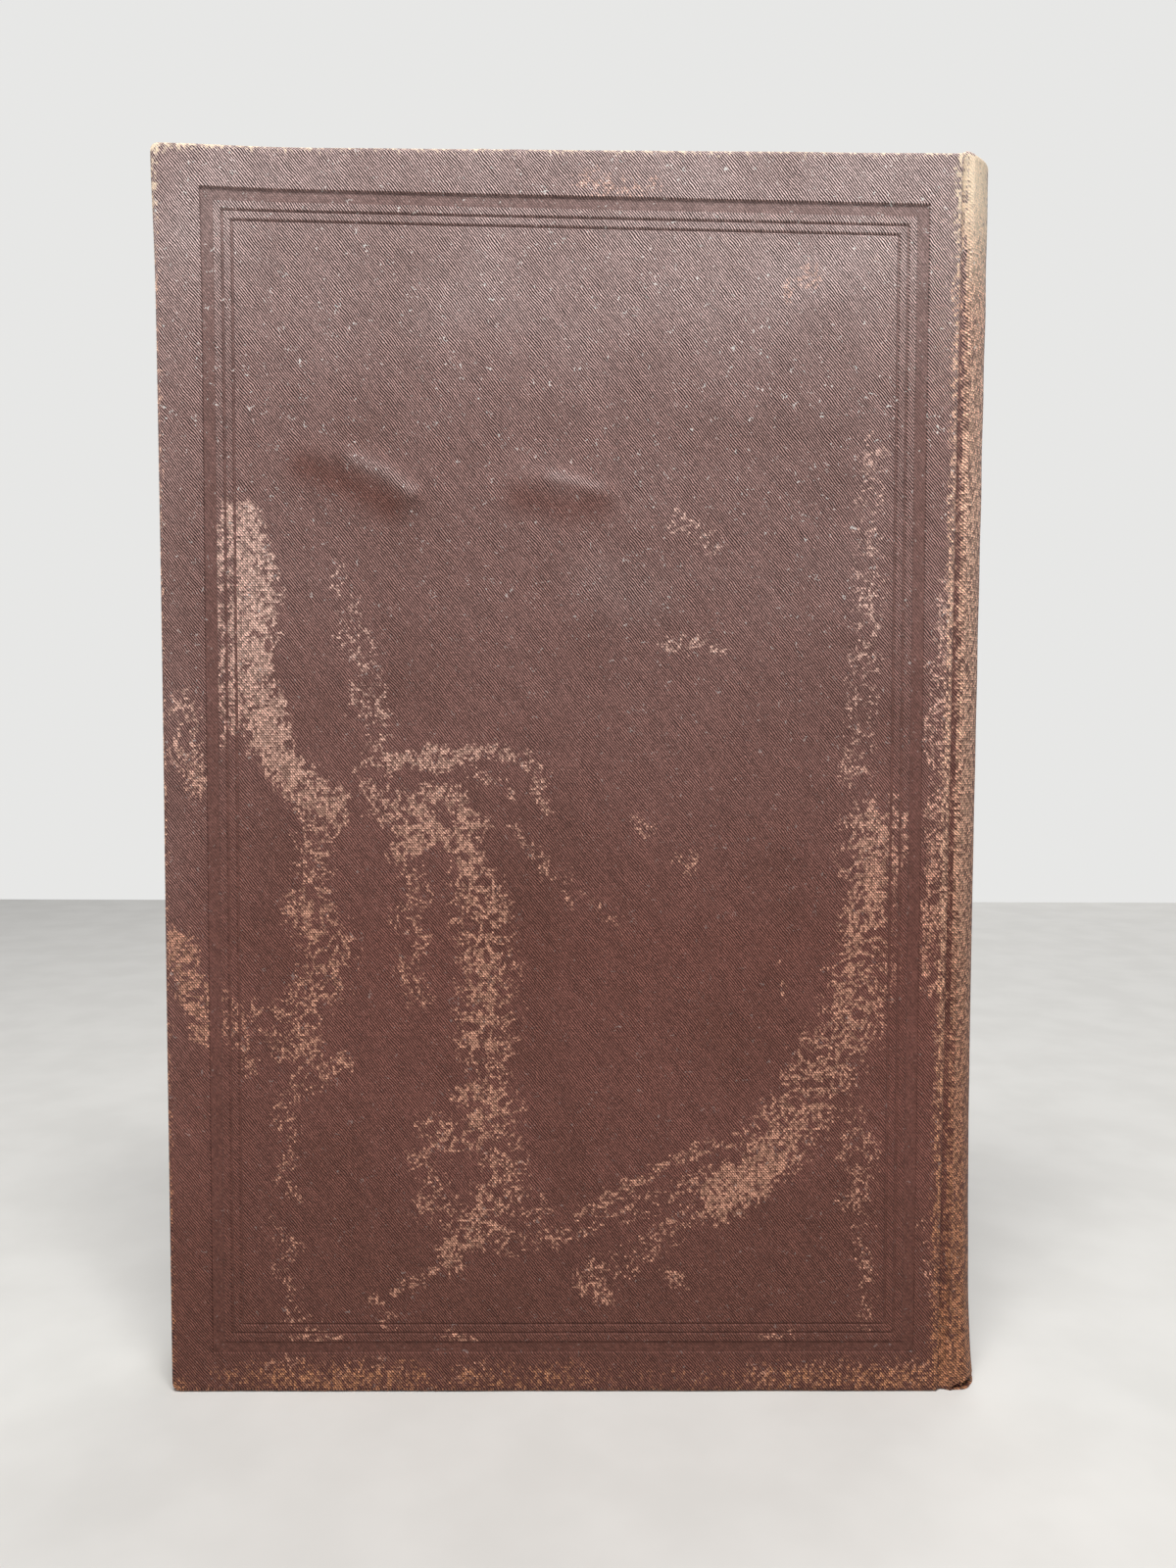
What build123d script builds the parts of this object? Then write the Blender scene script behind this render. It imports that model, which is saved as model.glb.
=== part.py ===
from build123d import *
import math
import os

os.makedirs("parts", exist_ok=True)

# A case-bound octavo book with a rounded spine, standing on its tail.
# X runs from the fore-edge to the spine, Y from the back cover to the front cover, Z from tail to head.

# The bound book, measured over its cloth
book_height = 240.0
cover_width = 151.9
book_thickness = 20.0

# Materials of the case
board_thickness = 2.2
cloth_thickness = 0.4
paper_thickness = 0.15
inlay_thickness = 0.45
turn_in_width = 15.0
corner_radius = 1.2

# Joint between a cover and the spine
joint_width = 2.5
joint_floor_width = 1.5
groove_depth = 2.0
ridge_depth = 0.9
hinge_split = 0.3
spine_half_angle = 57.8

# Blind-stamped frame: margins from the cover's edges, then widths measured inwards
frame_fore_margin = 8.5
frame_joint_margin = 5.4
frame_head_margin = 8.5
frame_tail_margin = 8.0
stamp_depth = 0.2
stamp_band_width = 2.5
stamp_rule_width = 0.6
first_rule_offset = 3.8
second_rule_offset = 5.6

# Text block and what is glued to its back
square_width = 3.0
fore_edge_hollow = 2.5
shoulder_width = 1.6
mull_thickness = 0.35
lining_thickness = 0.25
tape_thickness = 0.3
tape_width = 12.0
tape_pocket_clearance = 0.1
slip_length = 25.0
flange_length = 28.0
mull_end_margin = 3.0
pastedown_margin = 4.0
headband_height = 1.6
headband_width = 1.7
headband_round = 0.7
headband_cloth = 0.3
headband_tab = 8.0
headband_half_angle = 48.0

# Clearances
paste_gap = 0.05
body_clearance = 0.3

# Spine geometry: the arc of the cloth meets each ridge beside its joint
half_thickness = book_thickness / 2
ridge_y = half_thickness - ridge_depth
spine_radius = ridge_y / math.sin(math.radians(spine_half_angle))
spine_rise = spine_radius * (1 - math.cos(math.radians(spine_half_angle)))
book_length = cover_width + joint_width + spine_rise
fore_x = -book_length / 2
joint_x = fore_x + cover_width
ridge_x = joint_x + joint_width
spine_centre_x = ridge_x + spine_rise - spine_radius
split_x = joint_x + joint_floor_width / 2
floor_end_x = joint_x + joint_floor_width

# Depths through a cover, from its outer face inwards
board_outer = cloth_thickness
board_inner = board_outer + board_thickness
turn_in_inner = board_inner + cloth_thickness
cover_inner = turn_in_inner + paper_thickness
board_joint_x = joint_x - cloth_thickness

# Radii through the spine, from the cloth inwards
inlay_outer = spine_radius - cloth_thickness - paste_gap
inlay_inner = inlay_outer - inlay_thickness
spine_turn_in_inner = inlay_inner - paste_gap - cloth_thickness
lining_outer = spine_turn_in_inner - body_clearance
lining_inner = lining_outer - lining_thickness
mull_outer = lining_inner - paste_gap
mull_inner = mull_outer - mull_thickness
text_radius = mull_inner - paste_gap

# Text block
text_half = half_thickness - cover_inner - body_clearance - paper_thickness
text_tail = square_width
text_head = book_height - square_width
text_fore_x = fore_x + square_width + cloth_thickness
shoulder_half = half_thickness - groove_depth - cloth_thickness - mull_thickness - 2 * paste_gap
shoulder_angle = math.degrees(math.asin(shoulder_half / text_radius))
shoulder_tip_x = spine_centre_x + math.sqrt(text_radius**2 - shoulder_half**2)
shoulder_start_x = shoulder_tip_x - shoulder_width
mull_tail = turn_in_width + mull_end_margin
mull_head = book_height - mull_tail
mid_height = book_height / 2
tape_pitch = (mull_head - mull_tail) / 3
tape_heights = {
    "tail": mid_height - tape_pitch,
    "middle": mid_height,
    "head": mid_height + tape_pitch,
}


def cover_plane(depth):
    """Plane parallel to the back cover, at a depth below its outer face."""
    return Plane.XZ.offset(half_thickness - depth)


def block_sketch(low_x, high_x, low_z, high_z):
    """Upright rectangle between two heights, added to the open sketch."""
    with Locations(((low_x + high_x) / 2, (low_z + high_z) / 2)):
        Rectangle(high_x - low_x, high_z - low_z)


def stamped_ring(inset, ring_width):
    """One rectangular ring of the stamped frame, added to the open sketch."""
    left = fore_x + frame_fore_margin + inset
    right = joint_x - frame_joint_margin - inset
    bottom = frame_tail_margin + inset
    top = book_height - frame_head_margin - inset
    with Locations(((left + right) / 2, (bottom + top) / 2)):
        Rectangle(right - left, top - bottom)
        Rectangle(right - left - 2 * ring_width, top - bottom - 2 * ring_width, mode=Mode.SUBTRACT)


def stamped_frame():
    """The sunken band and its two thin rules, from the outside in."""
    stamped_ring(0, stamp_band_width)
    stamped_ring(first_rule_offset, stamp_rule_width)
    stamped_ring(second_rule_offset, stamp_rule_width)


def spine_sector(inner_radius, outer_radius, half_angle):
    """Outline of a curved strip that follows the spine, added to the open line builder."""
    outer_arc = CenterArc((spine_centre_x, 0), outer_radius, -half_angle, 2 * half_angle)
    inner_arc = CenterArc((spine_centre_x, 0), inner_radius, -half_angle, 2 * half_angle)
    Line(outer_arc @ 0, inner_arc @ 0)
    Line(outer_arc @ 1, inner_arc @ 1)


# Back board: millboard, its face pressed in where the frame is stamped, with hollows for the tape ends
board_low_x = fore_x + cloth_thickness
board_low_z = cloth_thickness
board_high_z = book_height - cloth_thickness
with BuildPart() as back_board:
    with BuildSketch(cover_plane(board_outer)) as board_outline:
        block_sketch(board_low_x, board_joint_x, board_low_z, board_high_z)
        fillet(board_outline.vertices().group_by(Axis.X)[0], corner_radius)
    extrude(amount=-board_thickness)
    with BuildSketch(cover_plane(board_outer)):
        stamped_frame()
    extrude(amount=-stamp_depth, mode=Mode.SUBTRACT)
    for slip_z in tape_heights.values():
        half_pocket = tape_width / 2 + tape_pocket_clearance
        with BuildSketch(cover_plane(board_inner)):
            pocket_low_x = board_joint_x - slip_length - tape_pocket_clearance
            block_sketch(pocket_low_x, board_joint_x, slip_z - half_pocket, slip_z + half_pocket)
        extrude(amount=tape_thickness, mode=Mode.SUBTRACT)

# Back cover cloth: over the board's face, turned in round its three free edges, and down to the joint's floor
with BuildPart() as back_cloth:
    with BuildSketch(cover_plane(0)) as cloth_outline:
        block_sketch(fore_x, joint_x, 0, book_height)
        fillet(cloth_outline.vertices().group_by(Axis.X)[0], corner_radius + cloth_thickness)
    extrude(amount=-turn_in_inner)
    with BuildSketch(cover_plane(board_outer)) as board_room:
        block_sketch(board_low_x, board_joint_x, board_low_z, board_high_z)
        fillet(board_room.vertices().group_by(Axis.X)[0], corner_radius)
    extrude(amount=-board_thickness, mode=Mode.SUBTRACT)
    with BuildSketch(cover_plane(board_inner)):
        block_sketch(fore_x + turn_in_width, board_joint_x, turn_in_width, book_height - turn_in_width)
    extrude(amount=-cloth_thickness, mode=Mode.SUBTRACT)
    with BuildSketch(cover_plane(groove_depth + cloth_thickness)):
        block_sketch(board_joint_x, joint_x, 0, book_height)
    extrude(amount=groove_depth + cloth_thickness - turn_in_inner, mode=Mode.SUBTRACT)
    with BuildSketch(cover_plane(groove_depth)):
        block_sketch(board_joint_x, split_x - hinge_split / 2, 0, book_height)
    extrude(amount=-cloth_thickness)
    with BuildSketch(cover_plane(board_outer)):
        stamped_frame()
    extrude(amount=-stamp_depth)
    with BuildSketch(cover_plane(0)):
        stamped_frame()
    extrude(amount=-stamp_depth, mode=Mode.SUBTRACT)

# Flange of the open-weave mull, glued to the inside of the back board beside the joint
with BuildPart() as back_mull_flange:
    with BuildSketch(cover_plane(board_inner)):
        block_sketch(board_joint_x - flange_length, board_joint_x, mull_tail, mull_head)
    extrude(amount=-mull_thickness)

# Back pastedown: one leaf that steps down from the turn-ins on to the bare board
well_low_x = fore_x + turn_in_width
well_high_x = board_joint_x - flange_length - paste_gap
well_low_z = turn_in_width
well_high_z = book_height - turn_in_width
with BuildPart() as back_pastedown:
    with BuildSketch(cover_plane(turn_in_inner)):
        block_sketch(fore_x + pastedown_margin, board_joint_x, pastedown_margin, book_height - pastedown_margin)
    extrude(amount=-paper_thickness)
    with BuildSketch(cover_plane(board_inner)):
        block_sketch(well_low_x, well_high_x, well_low_z, well_high_z)
    extrude(amount=board_inner - cover_inner)
    with BuildSketch(cover_plane(board_inner + paper_thickness)):
        block_sketch(
            well_low_x + paper_thickness,
            well_high_x - paper_thickness,
            well_low_z + paper_thickness,
            well_high_z - paper_thickness,
        )
    extrude(amount=board_inner + paper_thickness - cover_inner, mode=Mode.SUBTRACT)

# The front cover's pieces mirror the back cover's
cover_pieces = {
    "board": back_board,
    "cloth": back_cloth,
    "mull_flange": back_mull_flange,
    "pastedown": back_pastedown,
}
for tape_name, slip_z in tape_heights.items():
    with BuildPart() as back_slip:
        with BuildSketch(cover_plane(board_inner - tape_thickness)):
            block_sketch(board_joint_x - slip_length, board_joint_x, slip_z - tape_width / 2, slip_z + tape_width / 2)
        extrude(amount=-tape_thickness)
    cover_pieces[f"{tape_name}_slip"] = back_slip

for piece_name, back_piece in cover_pieces.items():
    back_piece.part.label = f"back_{piece_name}"
    export_step(back_piece.part, f"parts/back_{piece_name}.step")
    with BuildPart() as front_piece:
        mirror(back_piece.part, about=Plane.XZ)
    front_piece.part.label = f"front_{piece_name}"
    export_step(front_piece.part, f"parts/front_{piece_name}.step")

# Text block: rounded back with shoulders, hollow fore-edge, and shallow seats for the sewing tapes
with BuildPart() as text_block:
    with BuildSketch(Plane.XY.offset(text_tail)):
        with BuildLine():
            Polyline(
                (text_fore_x, -text_half),
                (shoulder_start_x, -text_half),
                (shoulder_start_x + (shoulder_half - text_half), -shoulder_half),
                (shoulder_tip_x, -shoulder_half),
            )
            ThreePointArc(
                (shoulder_tip_x, -shoulder_half),
                (spine_centre_x + text_radius, 0),
                (shoulder_tip_x, shoulder_half),
            )
            Polyline(
                (shoulder_tip_x, shoulder_half),
                (shoulder_start_x + (shoulder_half - text_half), shoulder_half),
                (shoulder_start_x, text_half),
                (text_fore_x, text_half),
            )
            ThreePointArc(
                (text_fore_x, text_half),
                (text_fore_x + fore_edge_hollow, 0),
                (text_fore_x, -text_half),
            )
        make_face()
    extrude(amount=text_head - text_tail)
    for tape_z in tape_heights.values():
        with BuildSketch(Plane.XY.offset(tape_z - tape_width / 2 - tape_pocket_clearance)):
            with BuildLine():
                spine_sector(text_radius - tape_thickness - paste_gap, text_radius + paste_gap, 90)
            make_face()
        extrude(amount=tape_width + 2 * tape_pocket_clearance, mode=Mode.SUBTRACT)
text_block.part.label = "text_block"
export_step(text_block.part, "parts/text_block.step")

# Free end leaves, pasted to the first and last pages
for leaf_name, leaf_side in (("back", -1), ("front", 1)):
    with BuildPart() as endpaper:
        with BuildSketch(Plane.XZ.offset(-leaf_side * text_half)):
            block_sketch(text_fore_x, shoulder_start_x, text_tail, text_head)
        extrude(amount=-leaf_side * paper_thickness)
    endpaper.part.label = f"{leaf_name}_endpaper"
    export_step(endpaper.part, f"parts/{leaf_name}_endpaper.step")

# Curved layers glued over the back of the text block and inside the case's spine
spine_layers = [
    ("mull", mull_inner, mull_outer, shoulder_angle, mull_tail, mull_head),
    ("spine_lining", lining_inner, lining_outer, headband_half_angle, text_tail, text_head),
    (
        "spine_inlay",
        inlay_inner,
        inlay_outer,
        headband_half_angle,
        cloth_thickness + paste_gap,
        book_height - cloth_thickness - paste_gap,
    ),
]
for tape_name, tape_z in tape_heights.items():
    spine_layers.append(
        (
            f"{tape_name}_tape",
            text_radius - tape_thickness,
            text_radius,
            shoulder_angle,
            tape_z - tape_width / 2,
            tape_z + tape_width / 2,
        )
    )
for layer_name, layer_inner, layer_outer, layer_angle, layer_tail, layer_head in spine_layers:
    with BuildPart() as spine_layer:
        with BuildSketch(Plane.XY.offset(layer_tail)):
            with BuildLine():
                spine_sector(layer_inner, layer_outer, layer_angle)
            make_face()
        extrude(amount=layer_head - layer_tail)
    spine_layer.part.label = layer_name
    export_step(spine_layer.part, f"parts/{layer_name}.step")

# Headband: a rolled cloth bead on the head of the pages, with its tab glued down the back
headband_outer = text_radius + paste_gap + headband_cloth
with BuildPart() as head_band:
    with BuildSketch(Plane.XY.offset(text_head)):
        with BuildLine():
            spine_sector(headband_outer - headband_width, headband_outer, headband_half_angle)
        make_face()
    extrude(amount=headband_height)
    bead_top = head_band.edges().group_by(Axis.Z)[-1].filter_by(GeomType.CIRCLE)
    fillet(bead_top, headband_round)
    with BuildSketch(Plane.XY.offset(text_head - headband_tab)):
        with BuildLine():
            spine_sector(text_radius + paste_gap, headband_outer, headband_half_angle)
        make_face()
    extrude(amount=headband_tab)
head_band.part.label = "head_band"
export_step(head_band.part, "parts/head_band.step")

with BuildPart() as tail_band:
    mirror(head_band.part, about=Plane.XY.offset(mid_height))
tail_band.part.label = "tail_band"
export_step(tail_band.part, "parts/tail_band.step")

# Spine cloth: round the spine from joint to joint, with its ends turned in over the inlay
with BuildPart() as spine_cloth:
    with BuildSketch():
        with BuildLine():
            spine_arc = CenterArc((spine_centre_x, 0), spine_radius, -spine_half_angle, 2 * spine_half_angle)
            floor_y = half_thickness - groove_depth
            Polyline(spine_arc @ 0, (floor_end_x, -floor_y), (fore_x, -floor_y))
            Polyline(spine_arc @ 1, (floor_end_x, floor_y), (fore_x, floor_y))
            Line((fore_x, -floor_y), (fore_x, floor_y))
        make_face()
        offset(amount=-cloth_thickness, mode=Mode.SUBTRACT)
        trim_x = split_x + hinge_split / 2
        with Locations(((fore_x + trim_x) / 2, 0)):
            Rectangle(trim_x - fore_x, book_thickness, mode=Mode.SUBTRACT)
    extrude(amount=book_height)
    for fold_tail, fold_height in ((0, turn_in_width), (book_height - turn_in_width, turn_in_width)):
        with BuildSketch(Plane.XY.offset(fold_tail)):
            with BuildLine():
                spine_sector(spine_turn_in_inner, spine_turn_in_inner + cloth_thickness, headband_half_angle)
            make_face()
        extrude(amount=fold_height)
    for fold_tail in (0, book_height - cloth_thickness):
        with BuildSketch(Plane.XY.offset(fold_tail)):
            with BuildLine():
                spine_sector(spine_turn_in_inner, spine_radius - cloth_thickness / 2, headband_half_angle)
            make_face()
        extrude(amount=cloth_thickness)
spine_cloth.part.label = "spine_cloth"
export_step(spine_cloth.part, "parts/spine_cloth.step")
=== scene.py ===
import math

import bpy
import numpy as np
from mathutils import Matrix, Vector


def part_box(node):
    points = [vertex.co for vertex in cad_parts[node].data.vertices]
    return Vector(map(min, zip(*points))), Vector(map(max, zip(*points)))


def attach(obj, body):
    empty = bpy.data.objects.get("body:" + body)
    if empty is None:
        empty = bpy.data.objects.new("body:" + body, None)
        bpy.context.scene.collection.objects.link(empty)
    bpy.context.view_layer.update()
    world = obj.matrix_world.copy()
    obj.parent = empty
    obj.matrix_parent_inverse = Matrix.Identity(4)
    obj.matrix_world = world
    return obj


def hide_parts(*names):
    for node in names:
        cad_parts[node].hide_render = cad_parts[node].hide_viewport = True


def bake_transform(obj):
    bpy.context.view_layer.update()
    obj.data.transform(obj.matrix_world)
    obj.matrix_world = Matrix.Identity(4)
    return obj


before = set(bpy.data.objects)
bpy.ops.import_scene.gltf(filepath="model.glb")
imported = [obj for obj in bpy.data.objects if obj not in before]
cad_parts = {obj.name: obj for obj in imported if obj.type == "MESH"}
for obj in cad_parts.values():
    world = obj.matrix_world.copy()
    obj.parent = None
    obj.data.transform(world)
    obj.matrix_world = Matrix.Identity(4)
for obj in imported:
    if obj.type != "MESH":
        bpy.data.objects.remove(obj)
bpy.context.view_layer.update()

# ---------------------------------------------------------------------------------------------
# Pages: about 130 leaves of old rag paper, sewn in gatherings, rounded at the back and backed
# into shoulders, so the fore-edge is hollow. The leaves are cut thin slabs, each a little
# out of line with its neighbours.
# ---------------------------------------------------------------------------------------------
leaf_count = 128
leaves_in_gathering = 8
leaf_share = 0.86
leaf_unevenness = 0.00022
fore_edge_hollow = 0.0025
shoulder_half = 0.00715
shoulder_from = 0.965
tape_seat = 0.00036
paper_colour = (0.70, 0.575, 0.385, 1)
paper_edge_colour = (0.50, 0.36, 0.205, 1)
foxing_colour = (0.36, 0.20, 0.085, 1)


def add_node(tree, kind, inputs=None, **settings):
    """A node of that kind, with its inputs set to values or linked to sockets."""
    made = tree.nodes.new(kind)
    for key, value in settings.items():
        setattr(made, key, value)
    for key, value in (inputs or {}).items():
        if isinstance(value, bpy.types.NodeSocket):
            tree.links.new(value, made.inputs[key])
        else:
            made.inputs[key].default_value = value
    return made


def shape_node(tree, kind, inputs, **settings):
    """What a Geometry Nodes node of that kind gives first."""
    return add_node(tree, "GeometryNode" + kind, inputs, **settings).outputs[0]


def point_at(tree, x=0.0, y=0.0, z=0.0):
    return add_node(tree, "ShaderNodeCombineXYZ", {"X": x, "Y": y, "Z": z}).outputs[0]


def calc(tree, operation, first, second=0.0, clamp=False):
    """One sum on two numbers or sockets."""
    made = add_node(tree, "ShaderNodeMath", {0: first, 1: second}, operation=operation)
    made.use_clamp = clamp
    return made.outputs[0]


def plus(tree, first, second):
    return calc(tree, "ADD", first, second)


def minus(tree, first, second):
    return calc(tree, "SUBTRACT", first, second)


def times(tree, first, second):
    return calc(tree, "MULTIPLY", first, second)


def ease(tree, value, low, high, to_low=0.0, to_high=1.0):
    """A smooth step of a value, from to_low at low to to_high at high."""
    inputs = {"Value": value, "From Min": low, "From Max": high, "To Min": to_low, "To Max": to_high}
    made = add_node(tree, "ShaderNodeMapRange", inputs, interpolation_type="SMOOTHSTEP")
    return made.outputs["Result"]


def grain(tree, place, scale, detail=2.0, roughness=0.5, distortion=0.0):
    """Noise on a place, with its number centred on one half."""
    inputs = {"Vector": place, "Scale": scale, "Detail": detail, "Roughness": roughness}
    inputs["Distortion"] = distortion
    return add_node(tree, "ShaderNodeTexNoise", inputs).outputs["Fac"]


def blend_colours(tree, share, first, second, how="MIX"):
    """Two colours mixed by a share."""
    made = add_node(tree, "ShaderNodeMix", {0: share, 6: first, 7: second}, data_type="RGBA")
    made.blend_type = how
    return made.outputs[2]


def shaded(tree, colour, shade):
    """A colour made darker or lighter by one number."""
    grey = add_node(tree, "ShaderNodeCombineColor", {0: shade, 1: shade, 2: shade}).outputs[0]
    return blend_colours(tree, 1.0, colour, grey, "MULTIPLY")


def stretched(tree, place, factors):
    """A place scaled by a factor on each axis."""
    inputs = {0: place, 1: factors}
    return add_node(tree, "ShaderNodeVectorMath", inputs, operation="MULTIPLY").outputs[0]


def new_finish(name, **shader_values):
    """A material with one Principled shader, its plain values on its own sockets."""
    made = bpy.data.materials.new(name)
    made.use_nodes = True
    shader = made.node_tree.nodes["Principled BSDF"]
    for key, value in shader_values.items():
        shader.inputs[key.replace("_", " ").title().replace("Ior", "IOR")].default_value = value
    return made, made.node_tree, shader


def relief(tree, shader, height, depth):
    """Small relief from a height between 0 and 1, depth metres deep."""
    inputs = {"Height": height, "Distance": depth, "Strength": 1.0}
    bump = add_node(tree, "ShaderNodeBump", inputs)
    tree.links.new(bump.outputs["Normal"], shader.inputs["Normal"])


def object_place(tree):
    return add_node(tree, "ShaderNodeTexCoord").outputs["Object"]


def paper_finish(name, plain, dark, leaf_lines):
    """Old paper: unevenly toned, foxed in spots, with fine fibres."""
    made, tree, shader = new_finish(name, roughness=0.82, specular_ior_level=0.25)
    place = object_place(tree)
    tone = grain(tree, place, 28.0, 4.0)
    colour = blend_colours(tree, ease(tree, tone, 0.40, 0.66), plain, dark)
    spots = grain(tree, place, 210.0, 2.0, 0.6)
    colour = blend_colours(tree, ease(tree, spots, 0.72, 0.80, 0.0, 0.3), colour, foxing_colour)
    if leaf_lines:
        leaf_tone = add_node(tree, "ShaderNodeAttribute", attribute_name="leaf_tone").outputs["Fac"]
        shade = ease(tree, leaf_tone, 0.0, 1.0, 0.62, 1.12)
        colour = shaded(tree, colour, shade)
    tree.links.new(colour, shader.inputs["Base Color"])
    fibres = grain(tree, stretched(tree, place, (1.0, 1.0, 0.25)), 2600.0, 3.0)
    relief(tree, shader, fibres, 0.00003)
    return made


def group_input(tree, name, kind, value):
    """A named input of a Geometry Nodes tree, with its first value."""
    socket = tree.interface.new_socket(name, in_out="INPUT", socket_type=kind)
    if value is not None:
        socket.default_value = value
    return socket


def start_tree(name, inputs):
    """A Geometry Nodes tree with those named inputs, its entry node and its way out."""
    tree = bpy.data.node_groups.new(name, "GeometryNodeTree")
    for key, (kind, value) in inputs.items():
        group_input(tree, key, kind, value)
    tree.interface.new_socket("Geometry", in_out="OUTPUT", socket_type="NodeSocketGeometry")
    entry = tree.nodes.new("NodeGroupInput")
    return tree, entry.outputs


def close_tree(tree, geometry, finish):
    """Ends a tree: real geometry, one finish, and the output."""
    real = shape_node(tree, "RealizeInstances", {"Geometry": geometry})
    painted = shape_node(tree, "SetMaterial", {"Geometry": real, "Material": finish})
    add_node(tree, "NodeGroupOutput", {"Geometry": painted})


def plain_mesh(source):
    """A new object with source's shape after its modifiers, which then goes."""
    depsgraph = bpy.context.evaluated_depsgraph_get()
    mesh = bpy.data.meshes.new_from_object(source.evaluated_get(depsgraph), depsgraph=depsgraph)
    name = source.name
    old = source.data
    bpy.data.objects.remove(source)
    if old.users == 0:
        bpy.data.meshes.remove(old)
    mesh.name = name
    made = bpy.data.objects.new(name, mesh)
    bpy.context.scene.collection.objects.link(made)
    return made


def grow(name, tree, values):
    """A piece made by a Geometry Nodes tree, with its inputs set, as a plain mesh."""
    seed_mesh = bpy.data.meshes.new(name)
    source = bpy.data.objects.new(name, seed_mesh)
    bpy.context.scene.collection.objects.link(source)
    modifier = source.modifiers.new("grow", "NODES")
    modifier.node_group = tree
    for item in tree.interface.items_tree:
        if item.in_out == "INPUT" and item.name in values:
            modifier[item.identifier] = values[item.name]
    return plain_mesh(source)


spine_half_angle = math.radians(57.8)
spine_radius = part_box("spine_cloth")[1].y / math.sin(spine_half_angle)
spine_centre_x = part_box("spine_cloth")[1].x - spine_radius
text_low, text_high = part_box("text_block")
text_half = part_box("front_endpaper")[0].y
text_radius = text_high.x - spine_centre_x


def leaves_tree(finish):
    number = "NodeSocketFloat"
    whole = "NodeSocketInt"
    tree, given = start_tree("leaves", {
        "Leaves": (whole, 100),
        "Half Depth": (number, 0.006),
        "Leaf Share": (number, 0.9),
        "Fore X": (number, 0.0),
        "Hollow": (number, 0.002),
        "Centre X": (number, 0.0),
        "Back Radius": (number, 0.008),
        "Shoulder Share": (number, 0.1),
        "Shoulder From": (number, 0.97),
        "Low": (number, 0.0),
        "High": (number, 0.2),
        "Unevenness": (number, 0.0002),
        "Gathering": (number, 8.0),
    })
    pitch = calc(tree, "DIVIDE", times(tree, given["Half Depth"], 2.0), given["Leaves"])
    first_y = minus(tree, times(tree, pitch, 0.5), given["Half Depth"])
    start = point_at(tree, y=first_y)
    step = point_at(tree, y=pitch)
    line = shape_node(tree, "MeshLine", {"Count": given["Leaves"], "Start Location": start, "Offset": step})
    size = point_at(tree, 1.0, times(tree, pitch, given["Leaf Share"]), 1.0)
    slab = shape_node(tree, "MeshCube", {"Size": size, "Vertices X": 12, "Vertices Y": 2, "Vertices Z": 14})
    placed = shape_node(tree, "InstanceOnPoints", {"Points": line, "Instance": slab})
    real = shape_node(tree, "RealizeInstances", {"Geometry": placed})

    position = tree.nodes.new("GeometryNodeInputPosition").outputs[0]
    parts = add_node(tree, "ShaderNodeSeparateXYZ", {0: position})
    along = plus(tree, parts.outputs["X"], 0.5)
    upright = plus(tree, parts.outputs["Z"], 0.5)
    y = parts.outputs["Y"]
    leaf = calc(tree, "FLOOR", calc(tree, "DIVIDE", plus(tree, y, given["Half Depth"]), pitch))
    gathering = calc(tree, "FLOOR", calc(tree, "DIVIDE", leaf, given["Gathering"]))

    def chance(seed, identity):
        inputs = {"ID": identity, "Seed": seed}
        made = add_node(tree, "FunctionNodeRandomValue", inputs, data_type="FLOAT")
        return minus(tree, made.outputs[1], 0.5)

    uneven = given["Unevenness"]
    leaf_step = times(tree, chance(3, leaf), uneven)
    group_step = times(tree, chance(5, gathering), times(tree, uneven, 1.6))
    fore_step = plus(tree, leaf_step, group_step)
    share_y = calc(tree, "DIVIDE", y, given["Half Depth"])
    square = times(tree, share_y, share_y)
    hollow = times(tree, minus(tree, 1.0, square), given["Hollow"])
    fore_x = plus(tree, plus(tree, given["Fore X"], hollow), fore_step)
    back_y = times(tree, y, plus(tree, 1.0, given["Shoulder Share"]))
    under = minus(tree, times(tree, given["Back Radius"], given["Back Radius"]),
                 times(tree, back_y, back_y))
    back_x = plus(tree, given["Centre X"], calc(tree, "SQRT", under))
    reach = minus(tree, back_x, fore_x)
    new_x = plus(tree, fore_x, times(tree, reach, along))
    fan = ease(tree, along, given["Shoulder From"], 1.0)
    new_y = times(tree, y, plus(tree, 1.0, times(tree, fan, given["Shoulder Share"])))
    head_step = times(tree, chance(7, leaf), uneven)
    tall = minus(tree, given["High"], given["Low"])
    new_z = plus(tree, given["Low"], times(tree, tall, upright))
    new_z = plus(tree, new_z, times(tree, head_step, minus(tree, upright, 0.5)))
    place = point_at(tree, new_x, new_y, new_z)
    shaped = shape_node(tree, "SetPosition", {"Geometry": real, "Position": place})
    tone = plus(tree, plus(tree, chance(11, leaf), 0.5), times(tree, chance(13, gathering), 0.5))
    tone_inputs = {"Geometry": shaped, "Name": "leaf_tone", "Value": tone}
    toned = shape_node(tree, "StoreNamedAttribute", tone_inputs, data_type="FLOAT", domain="POINT")
    close_tree(tree, toned, finish)
    return tree


page_finish = paper_finish("aged_page_edges", paper_colour, paper_edge_colour, leaf_lines=True)
pages = grow("pages", leaves_tree(page_finish), {
    "Leaves": leaf_count,
    "Half Depth": text_half,
    "Leaf Share": leaf_share,
    "Fore X": text_low.x + leaf_unevenness,
    "Hollow": fore_edge_hollow,
    "Centre X": spine_centre_x,
    "Back Radius": text_radius - tape_seat,
    "Shoulder Share": shoulder_half / text_half - 1,
    "Shoulder From": shoulder_from,
    "Low": text_low.z,
    "High": text_high.z,
    "Unevenness": leaf_unevenness,
    "Gathering": float(leaves_in_gathering),
})
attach(pages, "book_block")
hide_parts("text_block")

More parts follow.
